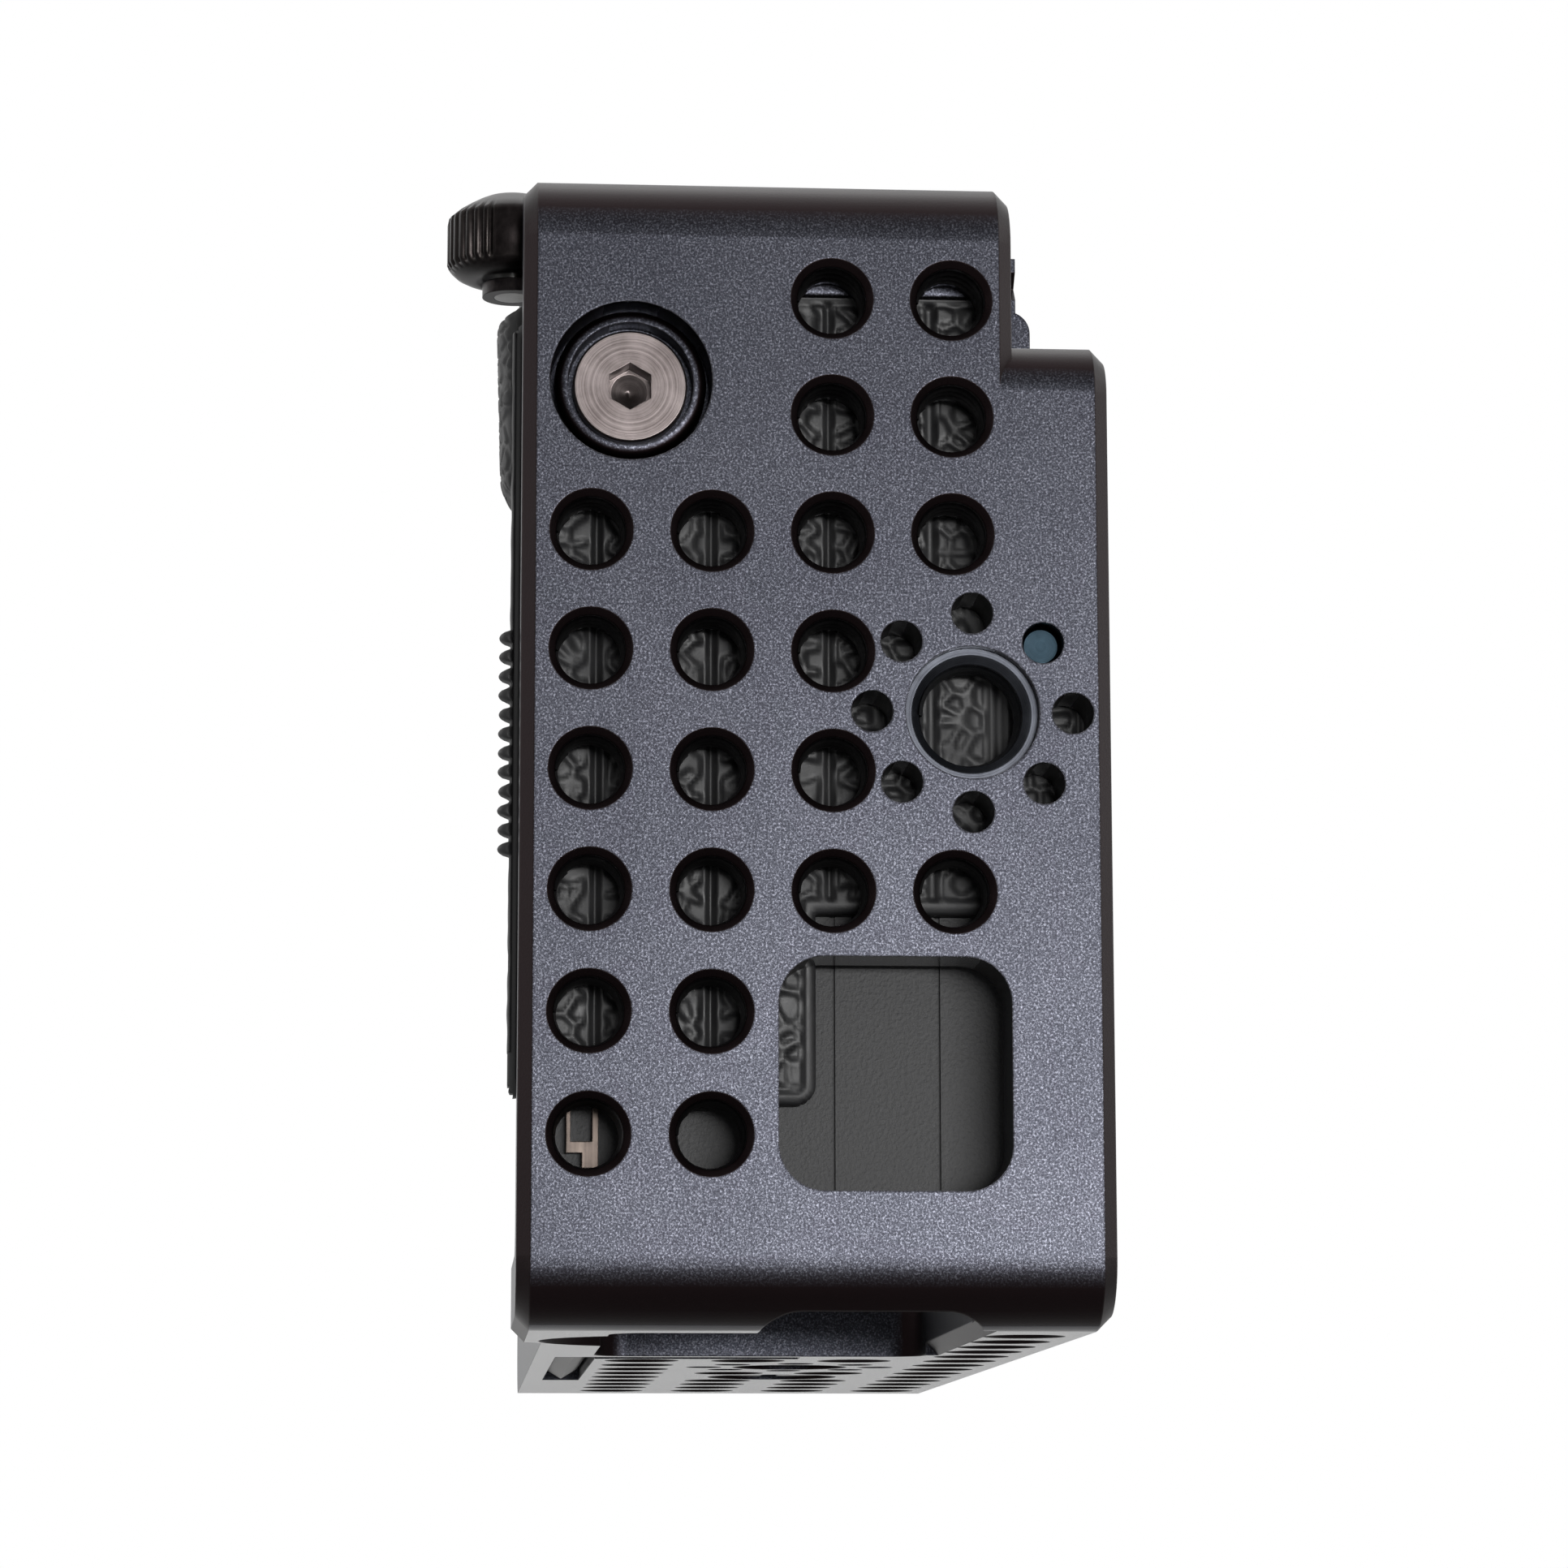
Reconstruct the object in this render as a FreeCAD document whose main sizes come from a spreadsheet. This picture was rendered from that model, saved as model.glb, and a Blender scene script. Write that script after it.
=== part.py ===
import FreeCAD, Part
import math
import os
import re

# Camera cage: a machined loop of plates round a mirrorless camera body, with its clamps,
# screws, pads, rail and shoe. Millimetres. +X is to the camera's left, +Y to its back,
# +Z up. The origin is the centre of the 3/8 in tripod hole, on the underside.

# Driving sizes
SIZES = (
    ("frame_width", 151.0),
    ("frame_height", 92.0),
    ("wall", 6.0),
    ("base", 6.0),
    ("top", 6.0),
    ("rear_edge", 26.5),
    ("front_edge", 20.1),
    ("shoulder_front", 12.5),
    ("lip_front", 19.1),
    ("shoulder_drop", 13.3),
    ("plate_rear", 24.0),
    ("rear_step", 25.5),
    ("rear_step_round", 2.0),
    ("lip_start", 41.7),
    ("corner", 5.5),
    ("shoulder_corner", 4.4),
    ("inner_corner", 3.0),
    ("edge_bevel", 1.1),
    ("lip_round", 2.0),
    ("pitch", 9.525),
    ("thread_radius", 2.75),
    ("mouth_radius", 3.32),
    ("mouth_depth", 0.6),
    ("first_column", 5.47),
    ("lowest_row", 14.86),
    ("accessory_y", -9.03),
    ("accessory_z", 48.2),
    ("insert_radius", 5.3),
    ("insert_bore", 4.1),
    ("insert_sink", 1.0),
    ("insert_length", 5.0),
    ("pin_circle", 7.94),
    ("pin_hole", 1.65),
    ("window_width", 18.2),
    ("window_height", 18.25),
    ("window_front", 11.92),
    ("window_low", 10.55),
    ("window_corner", 3.6),
    ("lug_y", 17.95),
    ("lug_drop", 17.4),
    ("lug_recess", 6.45),
    ("lug_recess_depth", 4.2),
    ("lug_hole", 4.2),
    ("lug_head", 4.55),
    ("lug_head_height", 1.3),
    ("lug_head_sink", 2.0),
    ("lug_cup_sink", 1.1),
    ("lug_shank", 2.0),
    ("hex_flats", 3.3),
    ("battery_end", 52.0),
    ("battery_side", 8.8),
    ("battery_front", 10.0),
    ("battery_rear", 18.95),
    ("battery_corner", 3.0),
    ("relief_radius", 9.8),
    ("relief_x", 23.1),
    ("relief_y", 14.5),
    ("notch_start", 1.9),
    ("notch_rear", 7.4),
    ("notch_depth", 3.0),
    ("screw_x", 23.8125),
    ("screw_head", 6.0),
    ("screw_head_height", 2.6),
    ("screw_radius", 3.175),
    ("screw_reach", 4.5),
    ("screw_recess", 3.2),
    ("clip_thickness", 0.8),
    ("running_fit", 0.1),
    ("small_gap", 0.3),
    ("side_screw", 1.25),
    ("side_screw_head", 2.25),
    ("side_screw_head_height", 2.0),
    ("side_screw_sink", 2.0),
    ("side_screw_length", 9.0),
    ("side_screw_level", 3.5),
    ("strap_slot_width", 3.2),
    ("strap_slot_length", 13.0),
    ("strap_slot_drop", 18.5),
    ("port_front", 7.0),
    ("port_rear", 19.0),
    ("port_low", 20.0),
    ("port_drop", 22.0),
    ("port_corner", 5.0),
    ("strip_y", -13.05),
    ("hump_start", -9.0),
    ("hump_end", 36.0),
    ("hump_front", 8.0),
    ("dial_start", 12.5),
    ("dial_end", 38.5),
    ("dial_rear", 9.0),
    ("top_row_y", -13.6),
    ("liner_gap", 0.3),
    ("liner_thickness", 2.2),
    ("liner_low", 17.8),
    ("liner_top_gap", 5.0),
    ("liner_front_gap", 2.0),
    ("liner_front_rear", 9.0),
    ("liner_strip_gap", 1.7),
    ("liner_strip_rear", 11.9),
    ("liner_front", 18.9),
    ("liner_round", 3.5),
    ("liner_bead", 0.7),
    ("liner_step_y", 2.9),
    ("liner_step_z", 33.0),
    ("rib_low", 37.5),
    ("rib_count", 12.0),
    ("rib_pitch", 1.55),
    ("panel_thickness", 1.6),
    ("thumb_height", 16.5),
    ("thumb_drop", 9.0),
    ("thumb_reach", 2.1),
    ("wheel_x", 14.0),
    ("wheel_y", 27.2),
    ("wheel_radius", 5.4),
    ("wheel_lift", 0.2),
    ("wheel_height", 6.0),
    ("wheel_dome", 1.2),
    ("wheel_flutes", 24.0),
    ("wheel_cam", 3.6),
    ("cam_radius", 0.6),
    ("wheel_pin", 1.5),
    ("channel_height", 3.6),
    ("channel_floor", 1.0),
    ("channel_rail", 1.4),
    ("channel_front", 9.6),
    ("channel_half", 7.0),
    ("channel_ear_rim", 1.0),
    ("channel_screw_spread", 4.5),
    ("slider_half", 5.0),
    ("key_flats", 3.0),
    ("key_y", 20.4),
    ("key_long", 52.0),
    ("key_short", 18.0),
    ("plate_screw", 1.5),
    ("rail_inset", 10.8),
    ("rail_start", -17.9),
    ("rail_width", 20.5),
    ("rail_length", 41.5),
    ("rail_height", 5.0),
    ("rail_groove", 1.27),
    ("rail_screw_inset", 10.5),
    ("rail_screw_head", 2.9),
    ("rail_screw_head_height", 2.5),
    ("shoe_inset", 21.5),
    ("shoe_y", 1.0),
    ("shoe_width", 24.0),
    ("shoe_length", 20.0),
    ("shoe_slot", 18.7),
    ("shoe_mouth", 12.7),
    ("shoe_slot_height", 2.2),
    ("shoe_height", 6.0),
    ("shoe_floor", 1.8),
    ("shoe_end", 1.6),
    ("shoe_screw_spread", 5.0),
    ("clamp_y", 6.0),
    ("clamp_width", 22.0),
    ("clamp_reach", 15.0),
    ("clamp_shelf", 16.0),
    ("clamp_shelf_thickness", 4.0),
    ("jaw_height", 34.0),
    ("jaw_thickness", 4.0),
    ("rod_radius", 1.5),
    ("rod_spread", 7.5),
    ("spindle_radius", 2.0),
    ("knob_radius", 5.5),
    ("knob_height", 8.0),
)

os.makedirs("parts", exist_ok=True)
doc = FreeCAD.newDocument("camera_cage")
sheet = doc.addObject("Spreadsheet::Sheet", "Sizes")
for line, (alias, number) in enumerate(SIZES, 1):
    sheet.set(f"A{line}", alias)
    sheet.set(f"B{line}", str(number))
    sheet.setAlias(f"B{line}", alias)
doc.recompute()
NAMES = {alias for alias, number in SIZES}

# Places that follow from the driving sizes, as formulas
GRIP_OUT = "(-frame_width / 2)"
GRIP_IN = "(-frame_width / 2 + wall)"
LEFT_IN = "(frame_width / 2 - wall)"
LEFT_OUT = "(frame_width / 2)"
CEILING = "(frame_height - top)"
LIP_X = "(-frame_width / 2 + lip_start)"
LINER_X = "(-frame_width / 2 + wall + liner_gap)"
PANEL_X = "(-frame_width / 2 + wall + liner_gap + liner_thickness + 0.1)"
WHEEL_X = "(-frame_width / 2 + wheel_x)"
CHANNEL_Z = "(frame_height - top - channel_height)"

# Places that other formulas use by name
PLACES = {
    "shoulder_height": "frame_height - shoulder_drop",
    "wheel_low": "frame_height - top + wheel_lift",
    "lug_z": "frame_height - lug_drop",
    "thumb_high": "frame_height - thumb_drop",
    "thumb_low": "frame_height - thumb_drop - thumb_height",
    "strap_slot_low": "frame_height - strap_slot_drop",
    "port_high": "frame_height - port_drop",
    "liner_high": "frame_height - top - liner_top_gap",
    "liner_front_high": "frame_height - top - liner_front_gap",
    "liner_strip_high": "frame_height - shoulder_drop - liner_strip_gap",
    "shoe_x": "frame_width / 2 - shoe_inset",
    "rail_x": "-frame_width / 2 + lip_start + rail_inset",
}

ALONG = {
    "x": FreeCAD.Rotation(FreeCAD.Vector(0, 1, 0), 90),
    "y": FreeCAD.Rotation(FreeCAD.Vector(1, 0, 0), -90),
    "z": FreeCAD.Rotation(),
}


def formula(text):
    """Gives a formula's size names their sheet prefix, and writes its named places out."""
    def write_out(found):
        word = found.group()
        if word in PLACES:
            return f"({formula(PLACES[word])})"
        return "Sizes." + word if word in NAMES else word
    return re.sub(r"[a-z_]+", write_out, str(text))


def read(alias):
    """A driving size as a number."""
    return float(getattr(sheet, alias))


def bind(obj, at, axis="z", **sizes):
    """Binds an object's place and sizes to formulas."""
    obj.Placement = FreeCAD.Placement(FreeCAD.Vector(), ALONG[axis])
    for name, text in zip("xyz", at):
        obj.setExpression("Placement.Base." + name, formula(text))
    for name, text in sizes.items():
        obj.setExpression(name, formula(text))
    return obj


def box(name, low, size):
    obj = doc.addObject("Part::Box", name)
    return bind(obj, low, Length=size[0], Width=size[1], Height=size[2])


def span(name, low, high):
    """A box between two corners."""
    size = [f"({top}) - ({bottom})" for bottom, top in zip(low, high)]
    return box(name, low, size)


def rod(name, at, radius, length, axis="z"):
    return bind(doc.addObject("Part::Cylinder", name), at, axis, Radius=radius, Height=length)


def cone(name, at, start, end, length, axis="z"):
    obj = doc.addObject("Part::Cone", name)
    return bind(obj, at, axis, Radius1=start, Radius2=end, Height=length)


def hexagon(name, at, flats, length, axis="z"):
    """A six-sided prism of a given width across flats."""
    obj = doc.addObject("Part::Prism", name)
    obj.Polygon = 6
    across = f"({flats}) / {math.sqrt(3):.6f}"
    return bind(obj, at, axis, Circumradius=across, Height=length)


def cut(name, base, *tools):
    """Takes tools away from a base."""
    obj = doc.addObject("Part::Cut", name)
    obj.Base = base
    obj.Tool = tools[0] if len(tools) == 1 else fuse(name + "_cuts", *tools)
    return obj


def fuse(name, *pieces):
    obj = doc.addObject("Part::MultiFuse", name)
    obj.Shapes = list(pieces)
    return obj


def group(name, pieces):
    """Separate solids that share a node."""
    obj = doc.addObject("Part::Compound", name)
    obj.Links = pieces
    return obj


def shaped(kind, name, base, amount, pick):
    """A fillet or chamfer on the edges that pick names."""
    doc.recompute()
    obj = doc.addObject(kind, name)
    obj.Base = base
    edges = enumerate(base.Shape.Edges, 1)
    obj.Edges = [(index, amount, amount) for index, edge in edges if pick(edge)]
    return obj


def fillet(name, base, amount, pick):
    return shaped("Part::Fillet", name, base, amount, pick)


def chamfer(name, base, amount, pick):
    return shaped("Part::Chamfer", name, base, amount, pick)


def runs(axis):
    """Picks straight edges along an axis."""
    def pick(edge):
        ends = [vertex.Point for vertex in edge.Vertexes]
        if len(ends) < 2:
            return False
        step = ends[1] - ends[0]
        return abs(abs(getattr(step, axis)) - step.Length) < 1e-6
    return pick


def rounded(name, low, high, amount, axis):
    """A box between two corners, with the edges along an axis rounded."""
    return fillet(name, span(name + "_block", low, high), amount, runs(axis))


def drilled(name, base, holes, mouths):
    """Cuts a plate with a set of holes, then with their bevelled mouths."""
    first = cut(name + "_bored", base, group(name + "_holes", holes))
    return cut(name, first, group(name + "_mouths", mouths))


def thread_hole(name, at, depth, axis):
    """A quarter-inch hole and the bevel at its start, as two tools."""
    start = [f"({place})" for place in at]
    which = "xyz".index(axis)
    start[which] += " - 0.01"
    hole = rod(name + "_hole", start, "thread_radius", f"({depth}) + 0.02", axis)
    mouth = cone(name + "_mouth", at, "mouth_radius", "thread_radius", "mouth_depth", axis)
    return hole, mouth


def split(pairs):
    """Turns pairs of tools into a list of holes and a list of mouths."""
    return [hole for hole, mouth in pairs], [mouth for hole, mouth in pairs]


def marks(rows):
    """Row and column of each letter o in rows of text."""
    for row, text in enumerate(rows):
        for column, letter in enumerate(text):
            if letter == "o":
                yield row, column


# Where the quarter-inch holes are: one letter for each place of the grid
GRIP_HOLES = (
    "oo..",
    "oo..",
    "oooo",
    ".ooo",
    ".ooo",
    "oooo",
    "..oo",
    "..oo",
)
BASE_HOLES = (
    "oooooooooooooo",
    ".....o..o.oooo",
    ".....o..o.oooo",
    ".....ooooooooo",
)
TOP_HOLES = (
    "......oooooooo",
    "..............",
    "..............",
    "...........ooo",
)


def grid_x(column):
    """A column's place across the cage; the columns lie evenly about the middle."""
    return f"({column} - {(len(BASE_HOLES[0]) - 1) / 2}) * pitch"


def pin_ring(name, centre, depth, axis):
    """Eight pin holes in a circle round an accessory hole."""
    holes = []
    for step in range(8):
        across = f"pin_circle * cos({45 * step})"
        along = f"pin_circle * sin({45 * step})"
        place = list(centre)
        free = [index for index in range(3) if "xyz"[index] != axis]
        place[free[0]] = f"({centre[free[0]]}) + {across}"
        place[free[1]] = f"({centre[free[1]]}) + {along}"
        holes.append(rod(f"{name}_pin_{step}", place, "pin_hole", depth, axis))
    return holes


def bevelled_block(name, low, high, corners):
    """A block along Y with rounded outer corners and bevelled front and back rims."""
    block = span(name + "_block", low, high)
    doc.recompute()
    lower, upper = block.Shape.BoundBox.ZMin, block.Shape.BoundBox.ZMax

    def at_height(height):
        return lambda edge: runs("y")(edge) and abs(edge.CenterOfMass.z - height) < 1e-6
    body = block
    for label, height, amount in (("low", lower, corners[0]), ("high", upper, corners[1])):
        if amount:
            body = fillet(f"{name}_{label}", body, amount, at_height(height))
    doc.recompute()
    front, back = body.Shape.BoundBox.YMin, body.Shape.BoundBox.YMax

    def on_rim(edge):
        bounds = edge.BoundBox
        flat = bounds.YLength < 1e-6
        return flat and min(abs(bounds.YMin - front), abs(bounds.YMax - back)) < 1e-6
    return chamfer(name, body, read("edge_bevel"), on_rim)


def envelope():
    """The whole loop before its openings: lower part, narrow top and forward lip."""
    corner = read("corner")
    lower = bevelled_block(
        "lower", (GRIP_OUT, "-front_edge", "0"), (LEFT_OUT, "rear_edge", "shoulder_height"),
        (corner, read("shoulder_corner")))
    upper = bevelled_block(
        "upper", (GRIP_OUT, "-shoulder_front", "base"), (LEFT_OUT, "rear_edge", "frame_height"),
        (0, corner))
    lip = fuse("lip_and_post",
               span("lip_block", (LIP_X, "-lip_front", CEILING), (LEFT_OUT, "rear_edge", "frame_height")),
               span("left_post", (LEFT_IN, "-lip_front", "base"),
                    (LEFT_OUT, "rear_edge", "frame_height")))
    lip.Refine = True
    top = read("frame_height")
    left_top = lambda edge: (runs("y")(edge) and edge.CenterOfMass.x > 0
                             and abs(edge.CenterOfMass.z - top) < 1e-6)
    lip = fillet("lip_corner", lip, corner, left_top)
    front_top = lambda edge: (runs("x")(edge) and edge.CenterOfMass.y < 0
                              and abs(edge.CenterOfMass.z - top) < 1e-6)
    lip = fillet("lip_rounded", lip, read("lip_round"), front_top)
    whole = fuse("loop_whole", lower, upper, lip)
    behind = rounded("rear_step_tool", (f"{GRIP_OUT} + rear_step", "plate_rear", "-1"),
                     (f"{LEFT_OUT} + 5", "rear_edge + 5", "frame_height + 1"),
                     read("rear_step_round"), "z")
    return cut("loop_solid", whole, behind)


def bay():
    """The space for the camera, right through from front to back."""
    return rounded("bay", (GRIP_IN, "-front_edge - 5", "base"), (LEFT_IN, "rear_edge + 5", CEILING),
                   read("inner_corner"), "y")


def grip_wall_tools():
    """Holes of the photographed wall: grid, accessory hole and ring, window, lug recess."""
    pairs = []
    rows = len(GRIP_HOLES)
    for row, column in marks(GRIP_HOLES):
        y = f"rear_edge - first_column - {3 - column} * pitch"
        z = f"lowest_row + {rows - 1 - row} * pitch"
        pairs.append(thread_hole(f"grip_{row}_{column}", (GRIP_OUT, y, z), "wall", "x"))
    centre = (GRIP_OUT, "accessory_y", "accessory_z")
    holes, mouths = split(pairs)
    holes.append(rod("accessory", centre, "insert_radius", "wall + 0.02", "x"))
    holes += pin_ring("accessory", centre, "wall + 0.02", "x")
    window = rounded(
        "window", (f"{GRIP_OUT} - 1", "-window_front", "window_low"),
        (f"{GRIP_IN} + 1", "-window_front + window_width", "window_low + window_height"),
        read("window_corner"), "x")
    lug = (GRIP_OUT, "lug_y", "lug_z")
    recess = rod("lug_recess_tool", (f"{GRIP_OUT} - 0.01", "lug_y", "lug_z"), "lug_recess",
                 "lug_recess_depth + 0.01", "x")
    through = rod("lug_hole_tool", lug, "lug_hole", "wall + 0.02", "x")
    return holes, mouths, window, recess, through


def battery_tools():
    """The battery door's opening in the base, its finger relief, notch and bevelled rim."""
    near = f"({GRIP_OUT} + battery_side)"
    far = f"({GRIP_OUT} + battery_end)"
    notch_x = f"({GRIP_OUT} + notch_start)"
    opening = rounded("battery", (near, "-battery_front", "-1"), (far, "battery_rear", "base + 1"),
                      read("battery_corner"), "z")
    relief = rod("battery_relief", (f"{GRIP_OUT} + relief_x", "relief_y", "-1"), "relief_radius",
                 "base + 2")
    notch = rounded("battery_notch", (notch_x, "-battery_front", "-1"),
                    (f"{near} + battery_corner + 1", "notch_rear", "notch_depth"),
                    read("battery_corner"), "z")
    slope = box("battery_slope", (f"{notch_x} + battery_corner", "-battery_front - edge_bevel", "0"),
                ("battery_end - notch_start - 2 * battery_corner", "edge_bevel * sqrt(2)",
                 "edge_bevel * sqrt(2)"))
    slope.Placement.Rotation = FreeCAD.Rotation(FreeCAD.Vector(1, 0, 0), -45)
    return opening, relief, notch, slope


def base_tools():
    """Holes of the base: tripod insert and ring, grid, camera screw, key groove, magnets."""
    pairs = []
    rows = len(BASE_HOLES)
    for row, column in marks(BASE_HOLES):
        y = f"({row} - {(rows - 1) / 2}) * pitch"
        pairs.append(thread_hole(f"base_{row}_{column}", (grid_x(column), y, "0"), "base", "z"))
    holes, mouths = split(pairs)
    holes.append(rod("tripod", ("0", "0", "-0.01"), "insert_radius", "base + 0.02"))
    holes += pin_ring("tripod", ("0", "0", "-0.01"), "base + 0.02", "z")
    screw = rod("screw_hole", ("screw_x", "0", "-0.01"), "screw_radius + running_fit", "base + 0.02")
    head = rod("screw_recess_tool", ("screw_x", "0", "-0.01"), "screw_head + small_gap",
               "screw_recess + 0.01")
    upper = rod("clip_recess", ("screw_x", "0", "base - clip_thickness - 0.5"),
                "screw_radius + 2.3", "clip_thickness + 0.6")
    return holes, mouths, [screw, head, upper]


def key_groove():
    """The groove in the underside where the hex key is kept."""
    half = "(key_flats / 2 + small_gap)"
    start = "(-key_long / 2 + 6)"
    long_arm = span("groove_long", (f"{start} - {half}", f"key_y - {half}", "-1"),
                    (f"{start} + key_long + small_gap", f"key_y + {half}", "key_flats + 0.6"))
    short_arm = span("groove_short", (f"{start} - {half}", f"key_y - key_short - {half}", "-1"),
                     (f"{start} + {half}", "key_y", "key_flats + 0.6"))
    magnets = [rod(f"magnet_seat_{index}", place, "1.6", "2", "z")
               for index, place in enumerate(magnet_places())]
    return [long_arm, short_arm] + magnets


def magnet_places():
    """The two magnets stand over the two arms of the hex key."""
    start = "(-key_long / 2 + 6)"
    level = "key_flats + 0.6 - 0.01"
    return (start, "key_y - key_short * 0.6", level), (f"{start} + key_long * 0.6", "key_y", level)


def top_tools():
    """Openings of the top plate: camera hump, dial access, thumb wheel notch, threaded holes."""
    hump = rounded("hump", ("hump_start", "-hump_front", f"{CEILING} - 1"),
                   ("hump_end", "rear_edge + 10", "frame_height + 1"), 4.0, "z")
    dials = rounded("dials", (f"{GRIP_OUT} + dial_start", "-hump_front", f"{CEILING} - 1"),
                    (f"{GRIP_OUT} + dial_end", "dial_rear", "frame_height + 1"), 4.0, "z")
    notch = rod("wheel_notch", (WHEEL_X, "wheel_y", f"{CEILING} - 1"), "wheel_radius + 0.7",
                "top + 2")
    holes = []
    mouths = []
    for row, column in marks(TOP_HOLES):
        x = grid_x(column)
        y = f"top_row_y + {row} * pitch"
        holes.append(rod(f"top_hole_{row}_{column}", (x, y, f"{CEILING} - 0.01"), "thread_radius",
                         "top + 0.02"))
        mouths.append(cone(f"top_mouth_{row}_{column}", (x, y, "frame_height - mouth_depth"),
                           "thread_radius", "mouth_radius", "mouth_depth + 0.001"))
    return [hump, dials, notch], holes, mouths


def side_screw_places():
    """Depth and height of the six screws that hold the left plate on, between the hole rows."""
    for side in (-1, 0, 1):
        yield f"{side} * pitch", "side_screw_level"
    for side in (-1, 0, 1):
        yield f"{side} * pitch * 0.8 + 1", "frame_height - side_screw_level"


def side_screw_seats():
    """Clearance holes and head seats in the left plate."""
    tools = []
    start = f"({LEFT_OUT} - side_screw_sink - side_screw_head_height)"
    for index, (y, z) in enumerate(side_screw_places()):
        tools.append(rod(f"plate_screw_{index}", (f"{LEFT_IN} - 1", y, z),
                         "side_screw + running_fit", "wall + 2", "x"))
        tools.append(rod(f"plate_seat_{index}", (start, y, z), "side_screw_head + running_fit",
                         "side_screw_sink + side_screw_head_height + 1", "x"))
    return tools


def side_screw_taps():
    """Tapped holes for those screws in the ends of the base and top."""
    start = f"({LEFT_IN} - side_screw_length)"
    return [rod(f"tapped_{index}", (start, y, z), "side_screw", "side_screw_length + 1", "x")
            for index, (y, z) in enumerate(side_screw_places())]


def main_frame(solid, space):
    """Grip wall, base and top, machined from one block and open on the left."""
    keep = span("frame_keep", (f"{GRIP_OUT} - 1", "-front_edge - 1", "-1"),
                (LEFT_IN, "rear_edge + 1", "frame_height + 1"))
    body = doc.addObject("Part::MultiCommon", "frame_solid")
    body.Shapes = [solid, keep]
    loop = cut("frame_loop", body, space)
    wall_holes, wall_mouths, window, recess, through = grip_wall_tools()
    base_holes, base_mouths, screw_tools = base_tools()
    openings, top_holes, top_mouths = top_tools()
    first = cut("frame_openings", loop, group("frame_windows", [window] + openings[:1]))
    second = cut("frame_access", first, *battery_tools())
    third = cut("frame_dials", second, group("frame_dial_cuts", openings[1:]))
    fourth = cut("frame_recesses", third, recess, through, *screw_tools)
    fifth = cut("frame_groove", fourth, *key_groove())
    sixth = cut("frame_tapped", fifth, group("frame_taps", side_screw_taps() + top_taps()))
    return drilled("main_frame", sixth, wall_holes + base_holes + top_holes,
                   wall_mouths + base_mouths + top_mouths)


def left_plate(solid, space):
    """The left side of the loop, bolted to the base and top."""
    keep = span("plate_keep", (LEFT_IN, "-front_edge - 1", "-1"),
                (f"{LEFT_OUT} + 1", "rear_edge + 1", "frame_height + 1"))
    body = doc.addObject("Part::MultiCommon", "plate_solid")
    body.Shapes = [solid, keep]
    ports = rounded("ports", (f"{LEFT_IN} - 1", "-port_front", "port_low"),
                    (f"{LEFT_OUT} + 1", "port_rear", "port_high"), read("port_corner"), "x")
    pairs = []
    rows = len(GRIP_HOLES)
    places = [("strip_y", f"lowest_row + {row} * pitch") for row in range(rows)]
    places += [(f"strip_y + {column} * pitch", f"lowest_row + {rows - 1} * pitch")
               for column in range(1, 3)]
    holes = []
    mouths = []
    for index, (y, z) in enumerate(places):
        holes.append(rod(f"strip_{index}", (f"{LEFT_IN} - 0.01", y, z), "thread_radius",
                         "wall + 0.02", "x"))
        mouths.append(cone(f"strip_mouth_{index}", (f"{LEFT_OUT} - mouth_depth", y, z),
                           "thread_radius", "mouth_radius", "mouth_depth + 0.001", "x"))
    seats = [rod(f"bracket_tap_{index}", (f"{LEFT_OUT} - 5", y, "9"), "plate_screw", "6", "x")
             for index, y in enumerate(("clamp_y - 6", "clamp_y + 6"))]
    strap = rounded("strap_slot", (f"{LEFT_IN} - 1", "plate_rear - 4.5 - strap_slot_width",
                                   "strap_slot_low"),
                    (f"{LEFT_OUT} + 1", "plate_rear - 4.5", "strap_slot_low + strap_slot_length"),
                    1.5, "x")
    opened = cut("plate_ports", body, ports, strap)
    screwed = cut("plate_screwed", opened, *side_screw_seats())
    tapped = cut("plate_tapped", screwed, group("plate_taps", seats))
    return drilled("side_plate", tapped, holes, mouths)


def socket_screw(name, at, axis, head, head_height, shank, length, flats, socket):
    """A cap screw along an axis: its head starts at the given place."""
    which = "xyz".index(axis)
    under = list(at)
    under[which] = f"({at[which]}) + ({head_height}) - 0.01"
    before = list(at)
    before[which] = f"({at[which]}) - 0.01"
    solid = fuse(name + "_solid", rod(name + "_head", at, head, head_height, axis),
                 rod(name + "_shank", under, shank, f"({length}) + 0.01", axis))
    return cut(name, solid, hexagon(name + "_socket", before, flats, f"({socket}) + 0.01", axis))


def side_screws():
    """Cap screws of the left plate, heads sunk in their seats."""
    screws = []
    start = f"({LEFT_OUT} - side_screw_sink - side_screw_head_height)"
    tip = f"({LEFT_IN} - side_screw_length + 0.5)"
    for index, (y, z) in enumerate(side_screw_places()):
        name = f"side_screw_{index}"
        head = rod(name + "_head", (start, y, z), "side_screw_head", "side_screw_head_height", "x")
        shank = rod(name + "_shank", (tip, y, z), "side_screw", f"{start} - {tip} + 0.01", "x")
        socket = hexagon(name + "_socket", (f"{start} + 0.9", y, z), "2", "2", "x")
        screws.append(cut(name, fuse(name + "_solid", head, shank), socket))
    return group("side_plate_screws", screws)


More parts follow.
